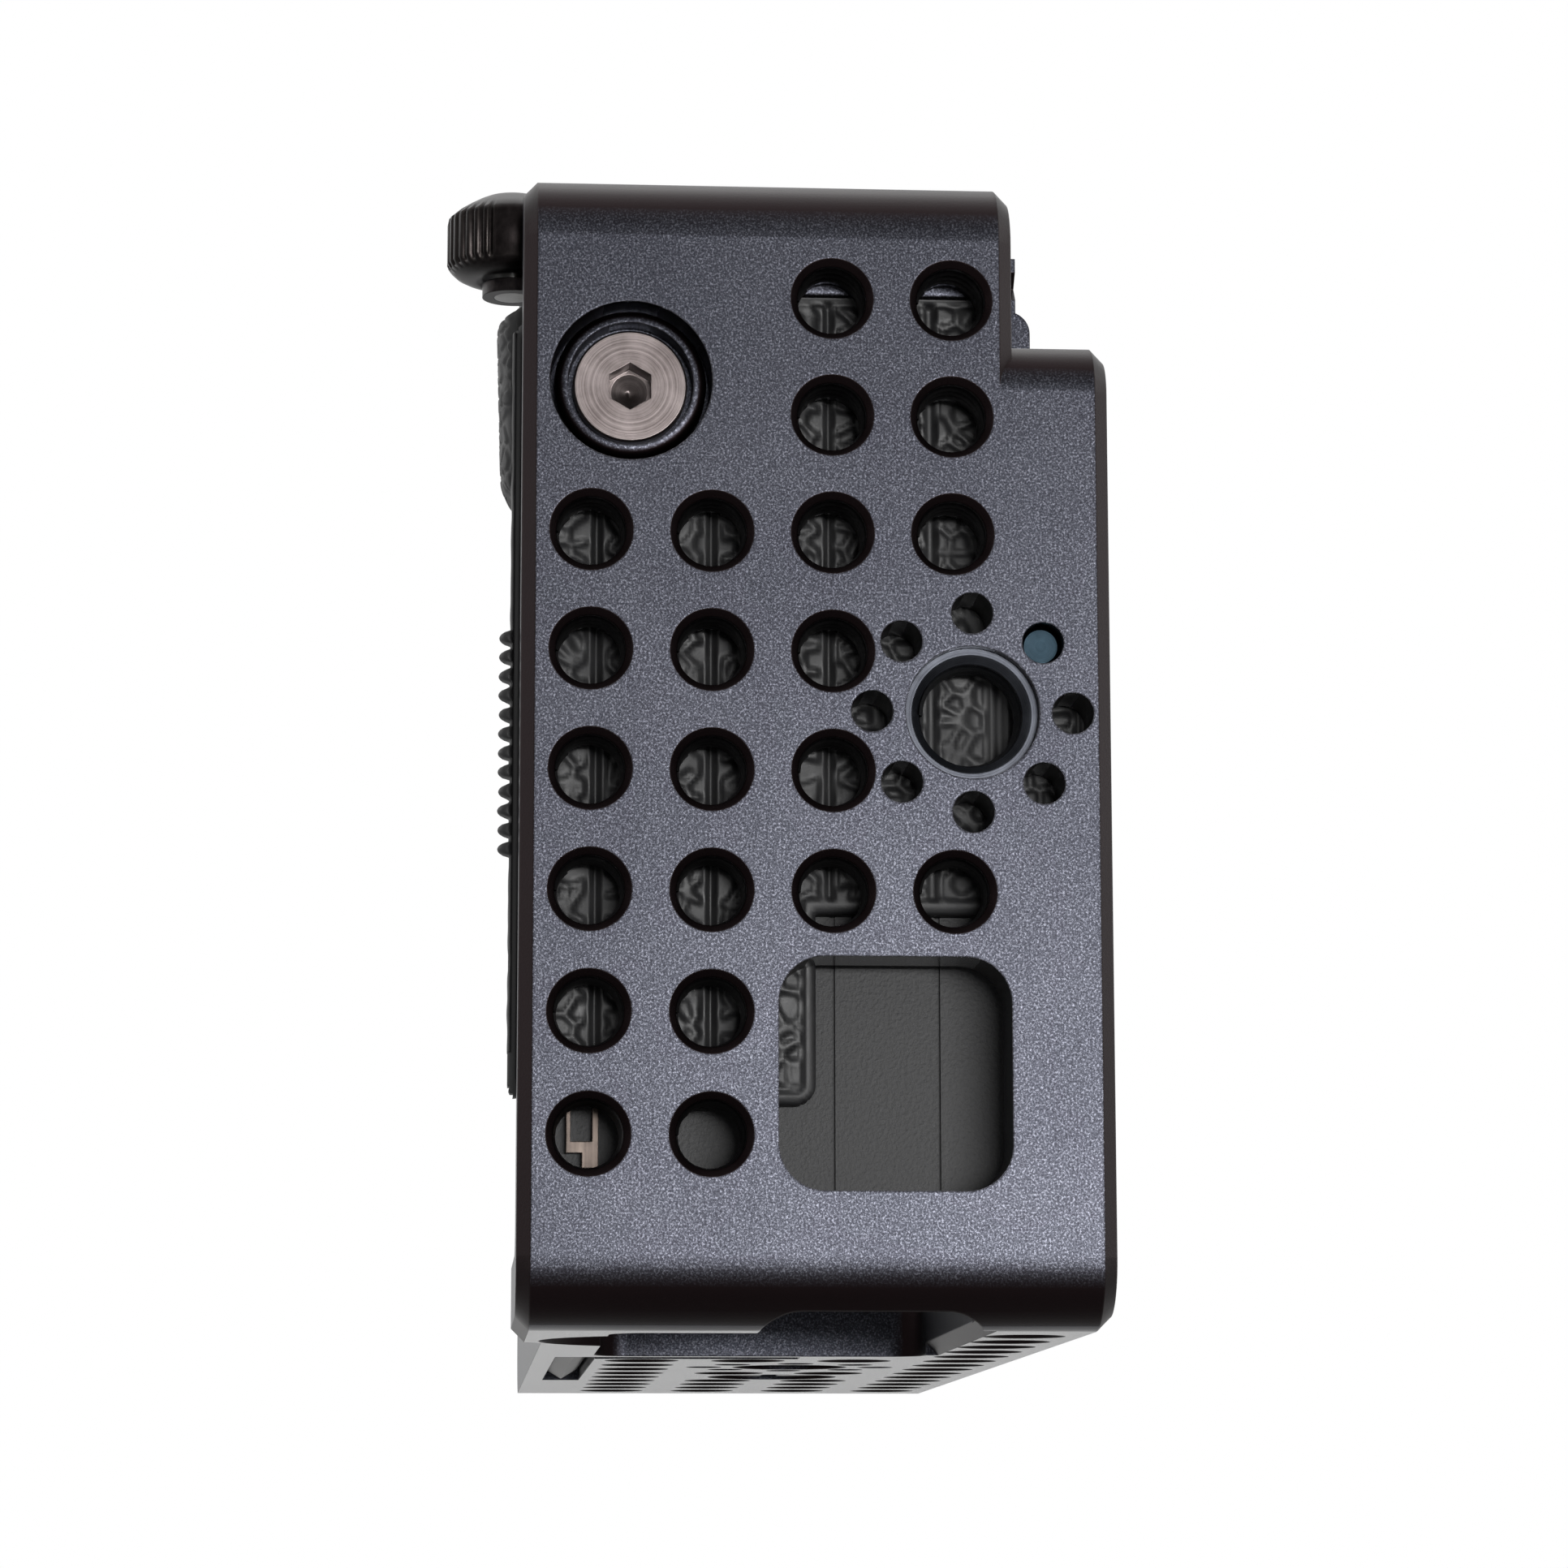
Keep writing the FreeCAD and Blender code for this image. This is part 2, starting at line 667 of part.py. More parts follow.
def inserts():
    """Steel thread inserts of the wall's and the base's 3/8 in holes."""
    wall = rod("wall_insert_body", (f"{GRIP_OUT} + insert_sink", "accessory_y", "accessory_z"),
               "insert_radius", "insert_length", "x")
    bore = rod("wall_insert_bore", (GRIP_OUT, "accessory_y", "accessory_z"), "insert_bore",
               "wall + 1", "x")
    mouth = cone("wall_insert_mouth", (f"{GRIP_OUT} + insert_sink", "accessory_y", "accessory_z"),
                 "insert_bore + 0.66", "insert_bore", "0.66", "x")
    cut("wall_thread_insert", wall, bore, mouth)
    base = rod("base_insert_body", ("0", "0", "insert_sink / 2"), "insert_radius", "insert_length")
    hole = rod("base_insert_bore", ("0", "0", "0"), "insert_bore", "base + 1")
    lead = cone("base_insert_mouth", ("0", "0", "insert_sink / 2"), "insert_bore + 0.66",
                "insert_bore", "0.66")
    cut("base_thread_insert", base, hole, lead)
    place = (f"{GRIP_OUT} + 1.6", "accessory_y - pin_circle * cos(45)",
             "accessory_z + pin_circle * sin(45)")
    chamfer("dowel_pin", rod("dowel_pin_body", place, "pin_hole", "wall - 1.7", "x"), 0.3,
            lambda edge: edge.BoundBox.XLength < 1e-6)


def lug_clamp():
    """The clamp that grips the camera's strap lug: cup, screw, wave washer and claw."""
    floor = f"({GRIP_OUT} + lug_recess_depth)"
    outer = -read("frame_width") / 2
    cup = rod("lug_cup_body", (f"{GRIP_OUT} + lug_cup_sink", "lug_y", "lug_z"),
              "lug_recess - 0.4", "lug_recess_depth - lug_cup_sink", "x")
    cup = fillet("lug_cup_round", cup, 0.9, lambda edge: edge.BoundBox.XLength < 1e-6
                 and edge.CenterOfMass.x < outer + read("lug_cup_sink") + 0.1)
    seat = rod("lug_cup_seat", (GRIP_OUT, "lug_y", "lug_z"), "lug_head + 0.45",
               "lug_head_sink + 1.4", "x")
    hole = rod("lug_cup_hole", (GRIP_OUT, "lug_y", "lug_z"), "lug_shank + running_fit", "wall", "x")
    cut("lug_clamp_cup", cup, seat, hole)
    head = (f"{GRIP_OUT} + lug_head_sink", "lug_y", "lug_z")
    screw = fuse("lug_screw_solid",
                 chamfer("lug_screw_head", rod("lug_head_body", head, "lug_head", "lug_head_height", "x"), 0.15,
                         lambda edge: edge.BoundBox.XLength < 1e-6
                         and edge.CenterOfMass.x < outer + read("lug_head_sink") + 0.1),
                 rod("lug_screw_shank", (f"{head[0]} + lug_head_height - 0.01", "lug_y", "lug_z"), "lug_shank",
                     "9", "x"))
    socket = hexagon("lug_socket", (f"{head[0]} - 0.01", "lug_y", "lug_z"), "hex_flats", "2.2", "x")
    tip = cone("lug_socket_tip", (f"{head[0]} + 2.18", "lug_y", "lug_z"), "1.5", "0", "0.8", "x")
    cut("lug_clamp_screw", screw, socket, tip)
    washer = rod("lug_washer_body", (f"{floor} + 0.05", "lug_y", "lug_z"), "lug_hole - 0.2", "0.5", "x")
    cut("lug_clamp_washer", washer,
        rod("lug_washer_hole", (f"{floor} - 1", "lug_y", "lug_z"), "lug_shank + 0.3", "3", "x"))
    start = f"({GRIP_IN} + 2.9)"
    block = rounded("lug_claw_block", (start, "lug_y - 4", "lug_z - 5"),
                    (f"{start} + 3", "lug_y + 4", "lug_z + 5"), 1.2, "x")
    hook = span("lug_claw_hook", (f"{start} + 2.9", "lug_y - 4", "lug_z - 5"),
                (f"{start} + 5", "lug_y + 4", "lug_z - 3"))
    nut = rod("lug_claw_nut", (start, "lug_y", "lug_z"), "lug_shank + running_fit", "8", "x")
    cut("lug_claw", fuse("lug_claw_solid", block, hook), nut)


def camera_screw():
    """The quarter-inch screw that holds the camera, with its spring clip."""
    head = chamfer("camera_screw_head",
                   rod("camera_screw_disc", ("screw_x", "0", "small_gap"), "screw_head",
                       "screw_head_height"), 0.4, lambda edge: edge.BoundBox.ZLength < 1e-6)
    shank = rod("camera_screw_shank", ("screw_x", "0", "small_gap + screw_head_height - 0.01"),
                "screw_radius", "base + screw_reach - screw_head_height - small_gap + 0.01")
    coin = box("camera_screw_coin", ("screw_x - screw_head - 1", "-0.8", "-1"),
               ("screw_head * 2 + 2", "1.6", "2.1 + small_gap"))
    socket = hexagon("camera_screw_socket", ("screw_x", "0", "-1"), "4.8", "3 + small_gap")
    neck = rod("camera_neck_outer", ("screw_x", "0", "base - 0.5 - clip_thickness"), "screw_radius + 1",
               "clip_thickness + 0.1")
    inner = rod("camera_neck_inner", ("screw_x", "0", "base - 1 - clip_thickness"),
                "screw_radius - 0.5", "clip_thickness + 2")
    groove = cut("camera_screw_groove", neck, inner)
    cut("camera_screw", fuse("camera_screw_solid", head, shank), fuse("camera_drive", coin, socket),
        groove)
    ring = rod("screw_clip_disc", ("screw_x", "0", "base - 0.45 - clip_thickness"),
               "screw_radius + 1.7", "clip_thickness")
    hole = rod("screw_clip_hole", ("screw_x", "0", "base - 2"), "screw_radius - 0.4", "3")
    gap = box("screw_clip_gap", ("screw_x - 1.6", "-screw_radius - 4", "base - 2"),
              ("3.2", "screw_radius + 4", "3"))
    cut("screw_clip", ring, hole, gap)


def base_fittings():
    """Pads and pins on top of the base, the hex key and its magnets."""
    strips = [box(f"pad_strip_{index}", ("-12", f"{side} * pitch - 1.2", "base"), ("64", "2.4", "0.8"))
              for index, side in enumerate((-1, 1))]
    group("base_pads", [fillet(f"pad_{index}", strip, 0.5, lambda edge: runs("x")(edge)
                               and edge.CenterOfMass.z > read("base") + 0.5)
                        for index, strip in enumerate(strips)])
    pins = []
    for index, x in enumerate(("screw_x - 12", "screw_x + 12")):
        pin = rod(f"locating_pin_body_{index}", (x, "plate_rear - 3.2", "base"), "1.5", "1.6")
        pins.append(chamfer(f"locating_pin_{index}", pin, 0.4, lambda edge: edge.BoundBox.ZLength
                            < 1e-6 and edge.CenterOfMass.z > read("base") + 1))
    group("locating_pins", pins)
    start = "(-key_long / 2 + 6)"
    level = "key_flats / 2 + 0.3"
    long_arm = hexagon("key_long_arm", (f"{start} - key_flats / 2", "key_y", level), "key_flats",
                       "key_long", "x")
    short_arm = hexagon("key_short_arm", (start, "key_y - key_short", level), "key_flats",
                        "key_short", "y")
    fuse("hex_key", long_arm, short_arm)
    group("key_magnets", [rod(f"key_magnet_{index}", place, "1.6", "1.6", "z")
                          for index, place in enumerate(magnet_places())])


def liner():
    """The rubber liner inside the grip wall, with its ribbed bead past the rear edge."""
    inside = f"({LINER_X} + liner_thickness)"
    sheet_low = span("liner_main", (LINER_X, "liner_step_y", "liner_low"),
                     (inside, "rear_edge + liner_bead", "liner_high"))
    front = span("liner_front_part", (LINER_X, "-liner_strip_rear", "liner_step_z"),
                 (inside, "liner_front_rear", "liner_front_high"))
    strip = span("liner_strip", (LINER_X, "-liner_front", "liner_step_z"),
                 (inside, "0.1 - liner_strip_rear", "liner_strip_high"))
    main = fillet("liner_rounded", sheet_low, read("liner_round"), lambda edge: runs("x")(edge)
                  and edge.CenterOfMass.z < read("liner_low") + 1
                  and edge.CenterOfMass.y < read("liner_step_y") + 1)
    ribs = []
    for index in range(int(read("rib_count"))):
        ribs.append(box(f"liner_rib_{index}", (LINER_X, "rear_edge", f"rib_low + {index} * rib_pitch"),
                        ("liner_thickness", "liner_bead + 0.75", "rib_pitch * 0.62")))
    body = fuse("liner_solid", main, front, strip, *ribs)
    screw = rod("liner_lug_hole", (f"{LINER_X} - 1", "lug_y", "lug_z"), "lug_hole", "6", "x")
    lines = [box(f"liner_line_{index}", (f"{LINER_X} - 0.1", y, "liner_low - 1"), ("0.8", "0.5", "70"))
             for index, y in enumerate(("20.1", "10.9", "1.6", "-6.7"))]
    cut("grip_liner", body, screw, *lines)


def window_panel():
    """The moulded panel behind the window, with two vertical lines."""
    plate = rounded("panel_plate", (PANEL_X, "-front_edge + 2", "base + 0.3"),
                    (f"{PANEL_X} + panel_thickness", "rear_edge - 1.5", "liner_step_z + 2"), 1.5, "x")
    lines = [box(f"panel_line_{index}", (f"{PANEL_X} - 0.1", y, "0"), ("0.5", "0.45", "60"))
             for index, y in enumerate(("1.2", "-7.2"))]
    cut("window_panel", plate, *lines)
    front = f"({PANEL_X} - 1.1)"
    up = span("hook_prong", (front, "22.2", "14.0"), (PANEL_X, "22.55", "17.6"))
    web = span("hook_web", (front, "20.0", "14.0"), (PANEL_X, "22.5", "14.9"))
    post = span("hook_post", (front, "20.0", "12.8"), (PANEL_X, "20.5", "17.6"))
    foot = span("hook_foot", (front, "20.0", "12.8"), (PANEL_X, "21.3", "14.1"))
    fuse("panel_hook", up, web, post, foot)


def thumb_rest():
    """A soft roll at the rear of the liner, where the thumb lies."""
    start = f"({LINER_X} + liner_thickness + 0.1)"
    block = span("thumb_block", (start, "rear_edge - 8", "thumb_low"),
                 (f"{start} + 9", "rear_edge + 0.1", f"{CHANNEL_Z} - small_gap"))
    roll = span("thumb_roll_block", (start, "rear_edge", "thumb_low"),
                (f"{start} + 9", "rear_edge + thumb_reach", "thumb_high"))
    reach = lambda edge: edge.CenterOfMass.y > read("rear_edge") + 1 and (
        runs("x")(edge) or runs("z")(edge))
    roll = fillet("thumb_roll", roll, 1.9, reach)
    lug = rod("thumb_lug_hole", (f"{start} - 1", "lug_y", "lug_z"), "8", "12", "x")
    hollow = span("thumb_hollow", (f"{start} - 1", "lug_y", "lug_z - 8"),
                  (f"{start} + 12", "lug_y + 5", "thumb_high + 1"))
    cut("thumb_rest", fuse("thumb_solid", block, roll), lug, hollow)


def channel_screw_places():
    """The two screws that hang the brace's channel under the top plate."""
    for side in (-1, 1):
        yield f"{WHEEL_X} + {side} * channel_screw_spread", "channel_front + 2.2"


def brace():
    """The rear brace: channel and its screws, wheel on its pin, slider and rubber tip."""
    start = f"({GRIP_IN} + inner_corner)"
    end = f"({WHEEL_X} + channel_half)"
    back = "(rear_edge - 0.4)"
    ledge = f"({CHANNEL_Z} + channel_floor)"
    bottom = span("channel_bottom", (start, "channel_front", CHANNEL_Z), (end, back, ledge))
    front = span("channel_rail_front", (start, "channel_front", f"{ledge} - 0.1"),
                 (end, "channel_front + 4.2", CEILING))
    rear = span("channel_rail_rear", (start, f"{back} - channel_rail", f"{ledge} - 0.1"),
                (end, back, CEILING))
    ear_low = "(wheel_low - 1.3)"
    ear = rod("channel_ear", (WHEEL_X, "wheel_y", ear_low), "wheel_pin + channel_ear_rim", "1.1")
    tongue = span("channel_tongue", (f"{WHEEL_X} - wheel_pin - channel_ear_rim", f"{back} - channel_rail",
                                    ear_low),
                  (f"{WHEEL_X} + wheel_pin + channel_ear_rim", "wheel_y", f"{ear_low} + 1.1"))
    tools = [rod("channel_pin_hole", (WHEEL_X, "wheel_y", f"{ear_low} - 1"), "wheel_pin", "4")]
    screws = []
    for index, (x, y) in enumerate(channel_screw_places()):
        tools.append(rod(f"channel_clear_{index}", (x, y, f"{CHANNEL_Z} - 1"), "1.1", "9"))
        tools.append(rod(f"channel_seat_{index}", (x, y, f"{CHANNEL_Z} - 1"), "1.9", "2.3"))
        screws.append(socket_screw(f"channel_screw_{index}", (x, y, f"{CHANNEL_Z} + 0.1"), "z", "1.8",
                                   "1.2", "1", "channel_height + 1.5", "1.5", "0.9"))
    cut("brace_channel", fuse("brace_channel_solid", bottom, front, rear, ear, tongue), *tools)
    group("channel_screws", screws)
    rim = "(wheel_low + wheel_height)"
    head = rod("wheel_pin_head", (WHEEL_X, "wheel_y", f"{rim} - 1.2"), "wheel_pin + 0.7", "0.9")
    shaft = rod("wheel_pin_shaft", (WHEEL_X, "wheel_y", ear_low), "wheel_pin", "wheel_height + 0.2")
    fuse("wheel_pin", head, shaft)
    brace_wheel()
    brace_slider(f"({ledge} + 0.2)", f"({CEILING} - 0.6)", f"({back} - channel_rail - small_gap)")


def brace_wheel():
    """Knurled thumb wheel: domed top, straight flutes, and a cam pin under it."""
    disc = rod("wheel_disc", (WHEEL_X, "wheel_y", "wheel_low"), "wheel_radius", "wheel_height")
    rim = chamfer("wheel_rim", disc, 0.5, lambda edge: edge.BoundBox.ZLength < 1e-6)
    dome = cone("wheel_dome", (WHEEL_X, "wheel_y", "wheel_low + wheel_height - 0.01"),
                "wheel_radius - 0.6", "wheel_radius - 3", "wheel_dome + 0.01")
    flutes = []
    count = int(read("wheel_flutes"))
    for index in range(count):
        turn = 360 / count * index
        place = (f"{WHEEL_X} + (wheel_radius + 0.25) * cos({turn})",
                 f"wheel_y + (wheel_radius + 0.25) * sin({turn})", "wheel_low + 0.8")
        flutes.append(rod(f"wheel_flute_{index}", place, "0.5", "wheel_height - 1.6"))
    knurled = cut("wheel_knurled", fuse("wheel_solid", rim, dome), group("wheel_flutes", flutes))
    bore = rod("wheel_bore", (WHEEL_X, "wheel_y", "wheel_low - 1"), "wheel_pin + running_fit", "12")
    sink = rod("wheel_sink", (WHEEL_X, "wheel_y", "wheel_low + wheel_height - 1.4"),
               "wheel_pin + 1", "4")
    turned = cut("wheel_turned", knurled, bore, sink)
    cam = rod("wheel_cam_pin", (WHEEL_X, "wheel_y - wheel_cam", "wheel_low - 2.2"), "cam_radius",
              "2.3")
    fuse("brace_wheel", turned, cam)


def brace_slider(low, high, back):
    """The slider that the wheel's cam pin moves, open-slotted at its back, and its soft tip."""
    end = f"({WHEEL_X} + slider_half)"
    plate = span("slider_plate", (f"{WHEEL_X} - slider_half", "channel_front + 4.5", low),
                 (end, back, high))
    slot = span("slider_slot", (f"{WHEEL_X} - cam_radius - running_fit", "wheel_y - wheel_cam - 1.2",
                                f"{low} - 1"), (f"{WHEEL_X} + cam_radius + running_fit", "wheel_y", CEILING))
    cut("brace_slider", plate, slot)
    front = "(channel_front + 5.3)"
    tip = span("tip_block", (end, front, low), (f"{end} + 1.5", f"{back} - 0.9", high))
    middle = read("wheel_x") - read("frame_width") / 2 + read("slider_half") + 1
    fillet("brace_tip", tip, 0.4, lambda edge: runs("z")(edge) and edge.CenterOfMass.x > middle)


def rail_screw_places():
    """The two screws of the rail, as depths."""
    for share in ("rail_screw_inset", "rail_length - rail_screw_inset"):
        yield f"rail_start + {share}"


def rail():
    """The quick-release rail on top: V-grooved sides, cross notch, screws and end stops."""
    low = "(rail_x - rail_width / 2)"
    top = "(frame_height + rail_height)"
    bar = box("rail_bar", (low, "rail_start", "frame_height"),
              ("rail_width", "rail_length", "rail_height"))
    tools = [box("rail_notch", (f"{low} - 1", "rail_start + rail_length / 2 - 2", f"{top} - 1.6"),
                 ("rail_width + 2", "4", "3"))]
    for name, x in (("right", low), ("left", f"{low} + rail_width")):
        groove = box(f"rail_groove_{name}",
                     (f"{x} - rail_groove", "rail_start - 1", "frame_height + rail_height / 2"),
                     ("rail_groove * sqrt(2)", "rail_length + 2", "rail_groove * sqrt(2)"))
        groove.Placement.Rotation = FreeCAD.Rotation(FreeCAD.Vector(0, 1, 0), 45)
        tools.append(groove)
    screws = []
    for index, y in enumerate(rail_screw_places()):
        seat = ("rail_x", y, f"{top} - rail_screw_head_height - small_gap")
        tools.append(rod(f"rail_seat_{index}", seat, "rail_screw_head + running_fit", "9"))
        tools.append(rod(f"rail_clear_{index}", ("rail_x", y, "frame_height - 1"),
                         "plate_screw + running_fit", "9"))
        head = rod(f"rail_head_{index}", seat, "rail_screw_head", "rail_screw_head_height")
        shank = rod(f"rail_shank_{index}", ("rail_x", y, f"{CEILING} + 1"), "plate_screw",
                    "top - 1 + rail_height - rail_screw_head_height - small_gap + 0.01")
        socket = hexagon(f"rail_socket_{index}", ("rail_x", y, f"{top} - 1.6"), "2.5", "3")
        screws.append(cut(f"rail_screw_{index}", fuse(f"rail_screw_solid_{index}", head, shank), socket))
    cut("top_rail", bar, *tools)
    group("rail_screws", screws)
    stops = []
    for index, y in enumerate(("rail_start + 3", "rail_start + rail_length - 3")):
        stop = rod(f"rail_stop_body_{index}", ("rail_x", y, top), "1.4", "1.2")
        stops.append(chamfer(f"rail_stop_{index}", stop, 0.3, high_rim))
    group("rail_stops", stops)


def high_rim(edge):
    """Picks the circle at the top of an upright pin that stands on the rail."""
    level = read("frame_height") + read("rail_height") + 0.5
    return edge.BoundBox.ZLength < 1e-6 and edge.CenterOfMass.z > level


def top_taps():
    """Tapped holes in the top plate for the rail's, the shoe's and the channel's screws."""
    places = [("rail_x", y) for y in rail_screw_places()]
    places += [("shoe_x", f"shoe_y + {side} * shoe_screw_spread") for side in (-1, 1)]
    upper = [rod(f"top_tap_{index}", (x, y, f"{CEILING} + 0.9"), "plate_screw", "top")
             for index, (x, y) in enumerate(places)]
    lower = [rod(f"channel_tap_{index}", (x, y, f"{CEILING} - 0.01"), "1", "3.5")
             for index, (x, y) in enumerate(channel_screw_places())]
    return upper + lower


def shoe():
    """The accessory shoe with its sprung leaf and countersunk screws."""
    start = "(shoe_y - shoe_length / 2)"
    floor = "(frame_height + shoe_floor)"
    bar = box("shoe_bar", ("shoe_x - shoe_width / 2", start, "frame_height"),
              ("shoe_width", "shoe_length", "shoe_height"))
    bar = fillet("shoe_round", bar, 1.5, runs("z"))
    tools = [box("shoe_slot_tool", ("shoe_x - shoe_slot / 2", f"{start} + shoe_end", floor),
                 ("shoe_slot", "shoe_length", "shoe_slot_height")),
             box("shoe_mouth_tool", ("shoe_x - shoe_mouth / 2", f"{start} + shoe_end", floor),
                 ("shoe_mouth", "shoe_length", "shoe_height"))]
    screws = []
    for index, side in enumerate((-1, 1)):
        y = f"shoe_y + {side} * shoe_screw_spread"
        sink = ("shoe_x", y, f"{floor} - 1.4")
        tools.append(rod(f"shoe_clear_{index}", ("shoe_x", y, "frame_height - 1"),
                         "plate_screw + running_fit", "4"))
        tools.append(cone(f"shoe_sink_{index}", sink, "plate_screw", "2.9", "1.41"))
        head = cone(f"shoe_head_{index}", ("shoe_x", y, f"{floor} - 1.35"), "plate_screw", "2.8", "1.3")
        shank = rod(f"shoe_shank_{index}", ("shoe_x", y, f"{CEILING} + 1"), "plate_screw",
                    "top - 1 + shoe_floor - 1.34")
        socket = hexagon(f"shoe_socket_{index}", ("shoe_x", y, f"{floor} - 1"), "2", "2")
        screws.append(cut(f"shoe_screw_{index}", fuse(f"shoe_screw_solid_{index}", head, shank), socket))
    cut("accessory_shoe", bar, *tools)
    group("shoe_screws", screws)
    leaf = box("shoe_leaf_plate", ("shoe_x - shoe_slot / 2 + small_gap", f"{start} + shoe_end + 0.4", floor),
               ("shoe_slot - small_gap * 2", "shoe_length - shoe_end - 2.4", "0.4"))
    cut("shoe_leaf", leaf, box("shoe_leaf_window", ("shoe_x - 4.5", f"{start} + 3.8", f"{floor} - 1"),
                               ("9", "shoe_length", "3")))


def cable_clamp():
    """The cable clamp on the left plate: bracket, rods, jaw, pad, knob and screws."""
    front = "(clamp_y - clamp_width / 2)"
    out = f"({LEFT_OUT} + clamp_reach)"
    centre = f"({LEFT_OUT} + clamp_reach - 6)"
    outer = read("frame_width") / 2 + read("clamp_reach") - 1
    foot = span("bracket_foot", (LEFT_OUT, front, "3"),
                (f"{LEFT_OUT} + 3.2", f"{front} + clamp_width", "clamp_shelf"))
    shelf = span("bracket_shelf", (LEFT_OUT, front, "clamp_shelf - clamp_shelf_thickness"),
                 (out, f"{front} + clamp_width", "clamp_shelf"))
    shelf = fillet("bracket_shelf_round", shelf, 3.0, lambda edge: runs("z")(edge)
                   and edge.CenterOfMass.x > outer)
    tools = [rod("bracket_spindle_tap", (centre, "clamp_y", "0"), "spindle_radius + running_fit", "30")]
    for index, side in enumerate((-1, 1)):
        tools.append(rod(f"bracket_rod_hole_{index}",
                         (centre, f"clamp_y + {side} * rod_spread", "0"), "rod_radius", "30"))
        tools.append(rod(f"bracket_screw_hole_{index}", (f"{LEFT_OUT} - 1", f"clamp_y + {side} * 6", "9"),
                         "1.6", "8", "x"))
    cut("clamp_bracket", fuse("bracket_solid", foot, shelf), *tools)
    rods = []
    for index, side in enumerate((-1, 1)):
        pin = rod(f"clamp_rod_body_{index}",
                  (centre, f"clamp_y + {side} * rod_spread", "clamp_shelf - clamp_shelf_thickness"),
                  "rod_radius", "jaw_height + 8 - clamp_shelf + clamp_shelf_thickness")
        rods.append(chamfer(f"clamp_rod_{index}", pin, 0.3, lambda edge: edge.BoundBox.ZLength < 1e-6))
    group("clamp_rods", rods)
    screws = []
    for index, side in enumerate((-1, 1)):
        y = f"clamp_y + {side} * 6"
        shank = rod(f"bracket_shank_{index}", (f"{LEFT_OUT} - 4.8", y, "9"), "1.5", "8.05", "x")
        head = rod(f"bracket_head_{index}", (f"{LEFT_OUT} + 3.2", y, "9"), "2.7", "2", "x")
        socket = hexagon(f"bracket_socket_{index}", (f"{LEFT_OUT} + 4", y, "9"), "2.5", "3", "x")
        screws.append(cut(f"bracket_screw_{index}",
                          fuse(f"bracket_screw_solid_{index}", shank, head), socket))
    group("bracket_screws", screws)
    clamp_jaw(front, centre, out)


def clamp_jaw(front, centre, out):
    """The jaw on its rods, its rubber pad, and the knob whose spindle drives it."""
    block = rounded("jaw_block", (f"{LEFT_OUT} + 1.5", f"{front} + 0.5", "jaw_height"),
                    (out, f"{front} + clamp_width - 0.5", "jaw_height + jaw_thickness"), 2.5, "z")
    tools = [rod("jaw_spindle_hole", (centre, "clamp_y", "0"), "spindle_radius + 0.3", "60")]
    for index, side in enumerate((-1, 1)):
        tools.append(rod(f"jaw_rod_hole_{index}", (centre, f"clamp_y + {side} * rod_spread", "0"),
                         "rod_radius + running_fit", "60"))
    cut("clamp_jaw", block, *tools)
    pad = rounded("jaw_pad_block", (f"{LEFT_OUT} + 2", f"{front} + 6", "jaw_height - 1.5"),
                  (f"{LEFT_OUT} + 5.8", f"{front} + clamp_width - 6", "jaw_height"), 1.0, "z")
    pad.Label = "jaw_pad"
    base = "(jaw_height + jaw_thickness + 0.1)"
    disc = rod("knob_disc", (centre, "clamp_y", f"{base} + 1.6"), "knob_radius", "knob_height")
    disc = chamfer("knob_rim", disc, 0.6, lambda edge: edge.BoundBox.ZLength < 1e-6)
    collar = rod("knob_collar", (centre, "clamp_y", base), "knob_radius - 2", "1.7")
    flutes = []
    for index in range(20):
        place = (f"{centre} + (knob_radius + 0.3) * cos({18 * index})",
                 f"clamp_y + (knob_radius + 0.3) * sin({18 * index})", f"{base} + 2.6")
        flutes.append(rod(f"knob_flute_{index}", place, "0.6", "knob_height - 2"))
    knurled = cut("knob_knurled", fuse("knob_solid", disc, collar), group("knob_flutes", flutes))
    spindle = rod("knob_spindle", (centre, "clamp_y", "clamp_shelf - clamp_shelf_thickness + 0.3"),
                  "spindle_radius", "jaw_height - clamp_shelf + clamp_shelf_thickness + 6")
    dished = cut("knob_dished", knurled, rod("knob_dish", (centre, "clamp_y",
                                                          f"{base} + knob_height + 0.9"), "3.6", "4"))
    fuse("clamp_knob", dished, spindle)


def build():
    solid = envelope()
    space = bay()
    main_frame(solid, space)
    left_plate(solid, space)
    side_screws()
    inserts()
    lug_clamp()
    camera_screw()
    base_fittings()
    liner()
    window_panel()
    thumb_rest()
    brace()
    rail()
    shoe()
    cable_clamp()
    doc.recompute()


NODES = (
    "main_frame", "side_plate", "side_plate_screws", "wall_thread_insert", "base_thread_insert",
    "dowel_pin", "lug_clamp_cup", "lug_clamp_screw", "lug_clamp_washer", "lug_claw",
    "camera_screw", "screw_clip", "base_pads", "locating_pins", "hex_key", "key_magnets",
    "grip_liner", "window_panel", "panel_hook", "thumb_rest", "brace_channel", "channel_screws", "wheel_pin",
    "brace_wheel", "brace_slider", "brace_tip", "top_rail", "rail_screws", "rail_stops",
    "accessory_shoe", "shoe_screws", "shoe_leaf", "clamp_bracket", "bracket_screws",
    "clamp_rods", "clamp_jaw", "jaw_pad", "clamp_knob",
)


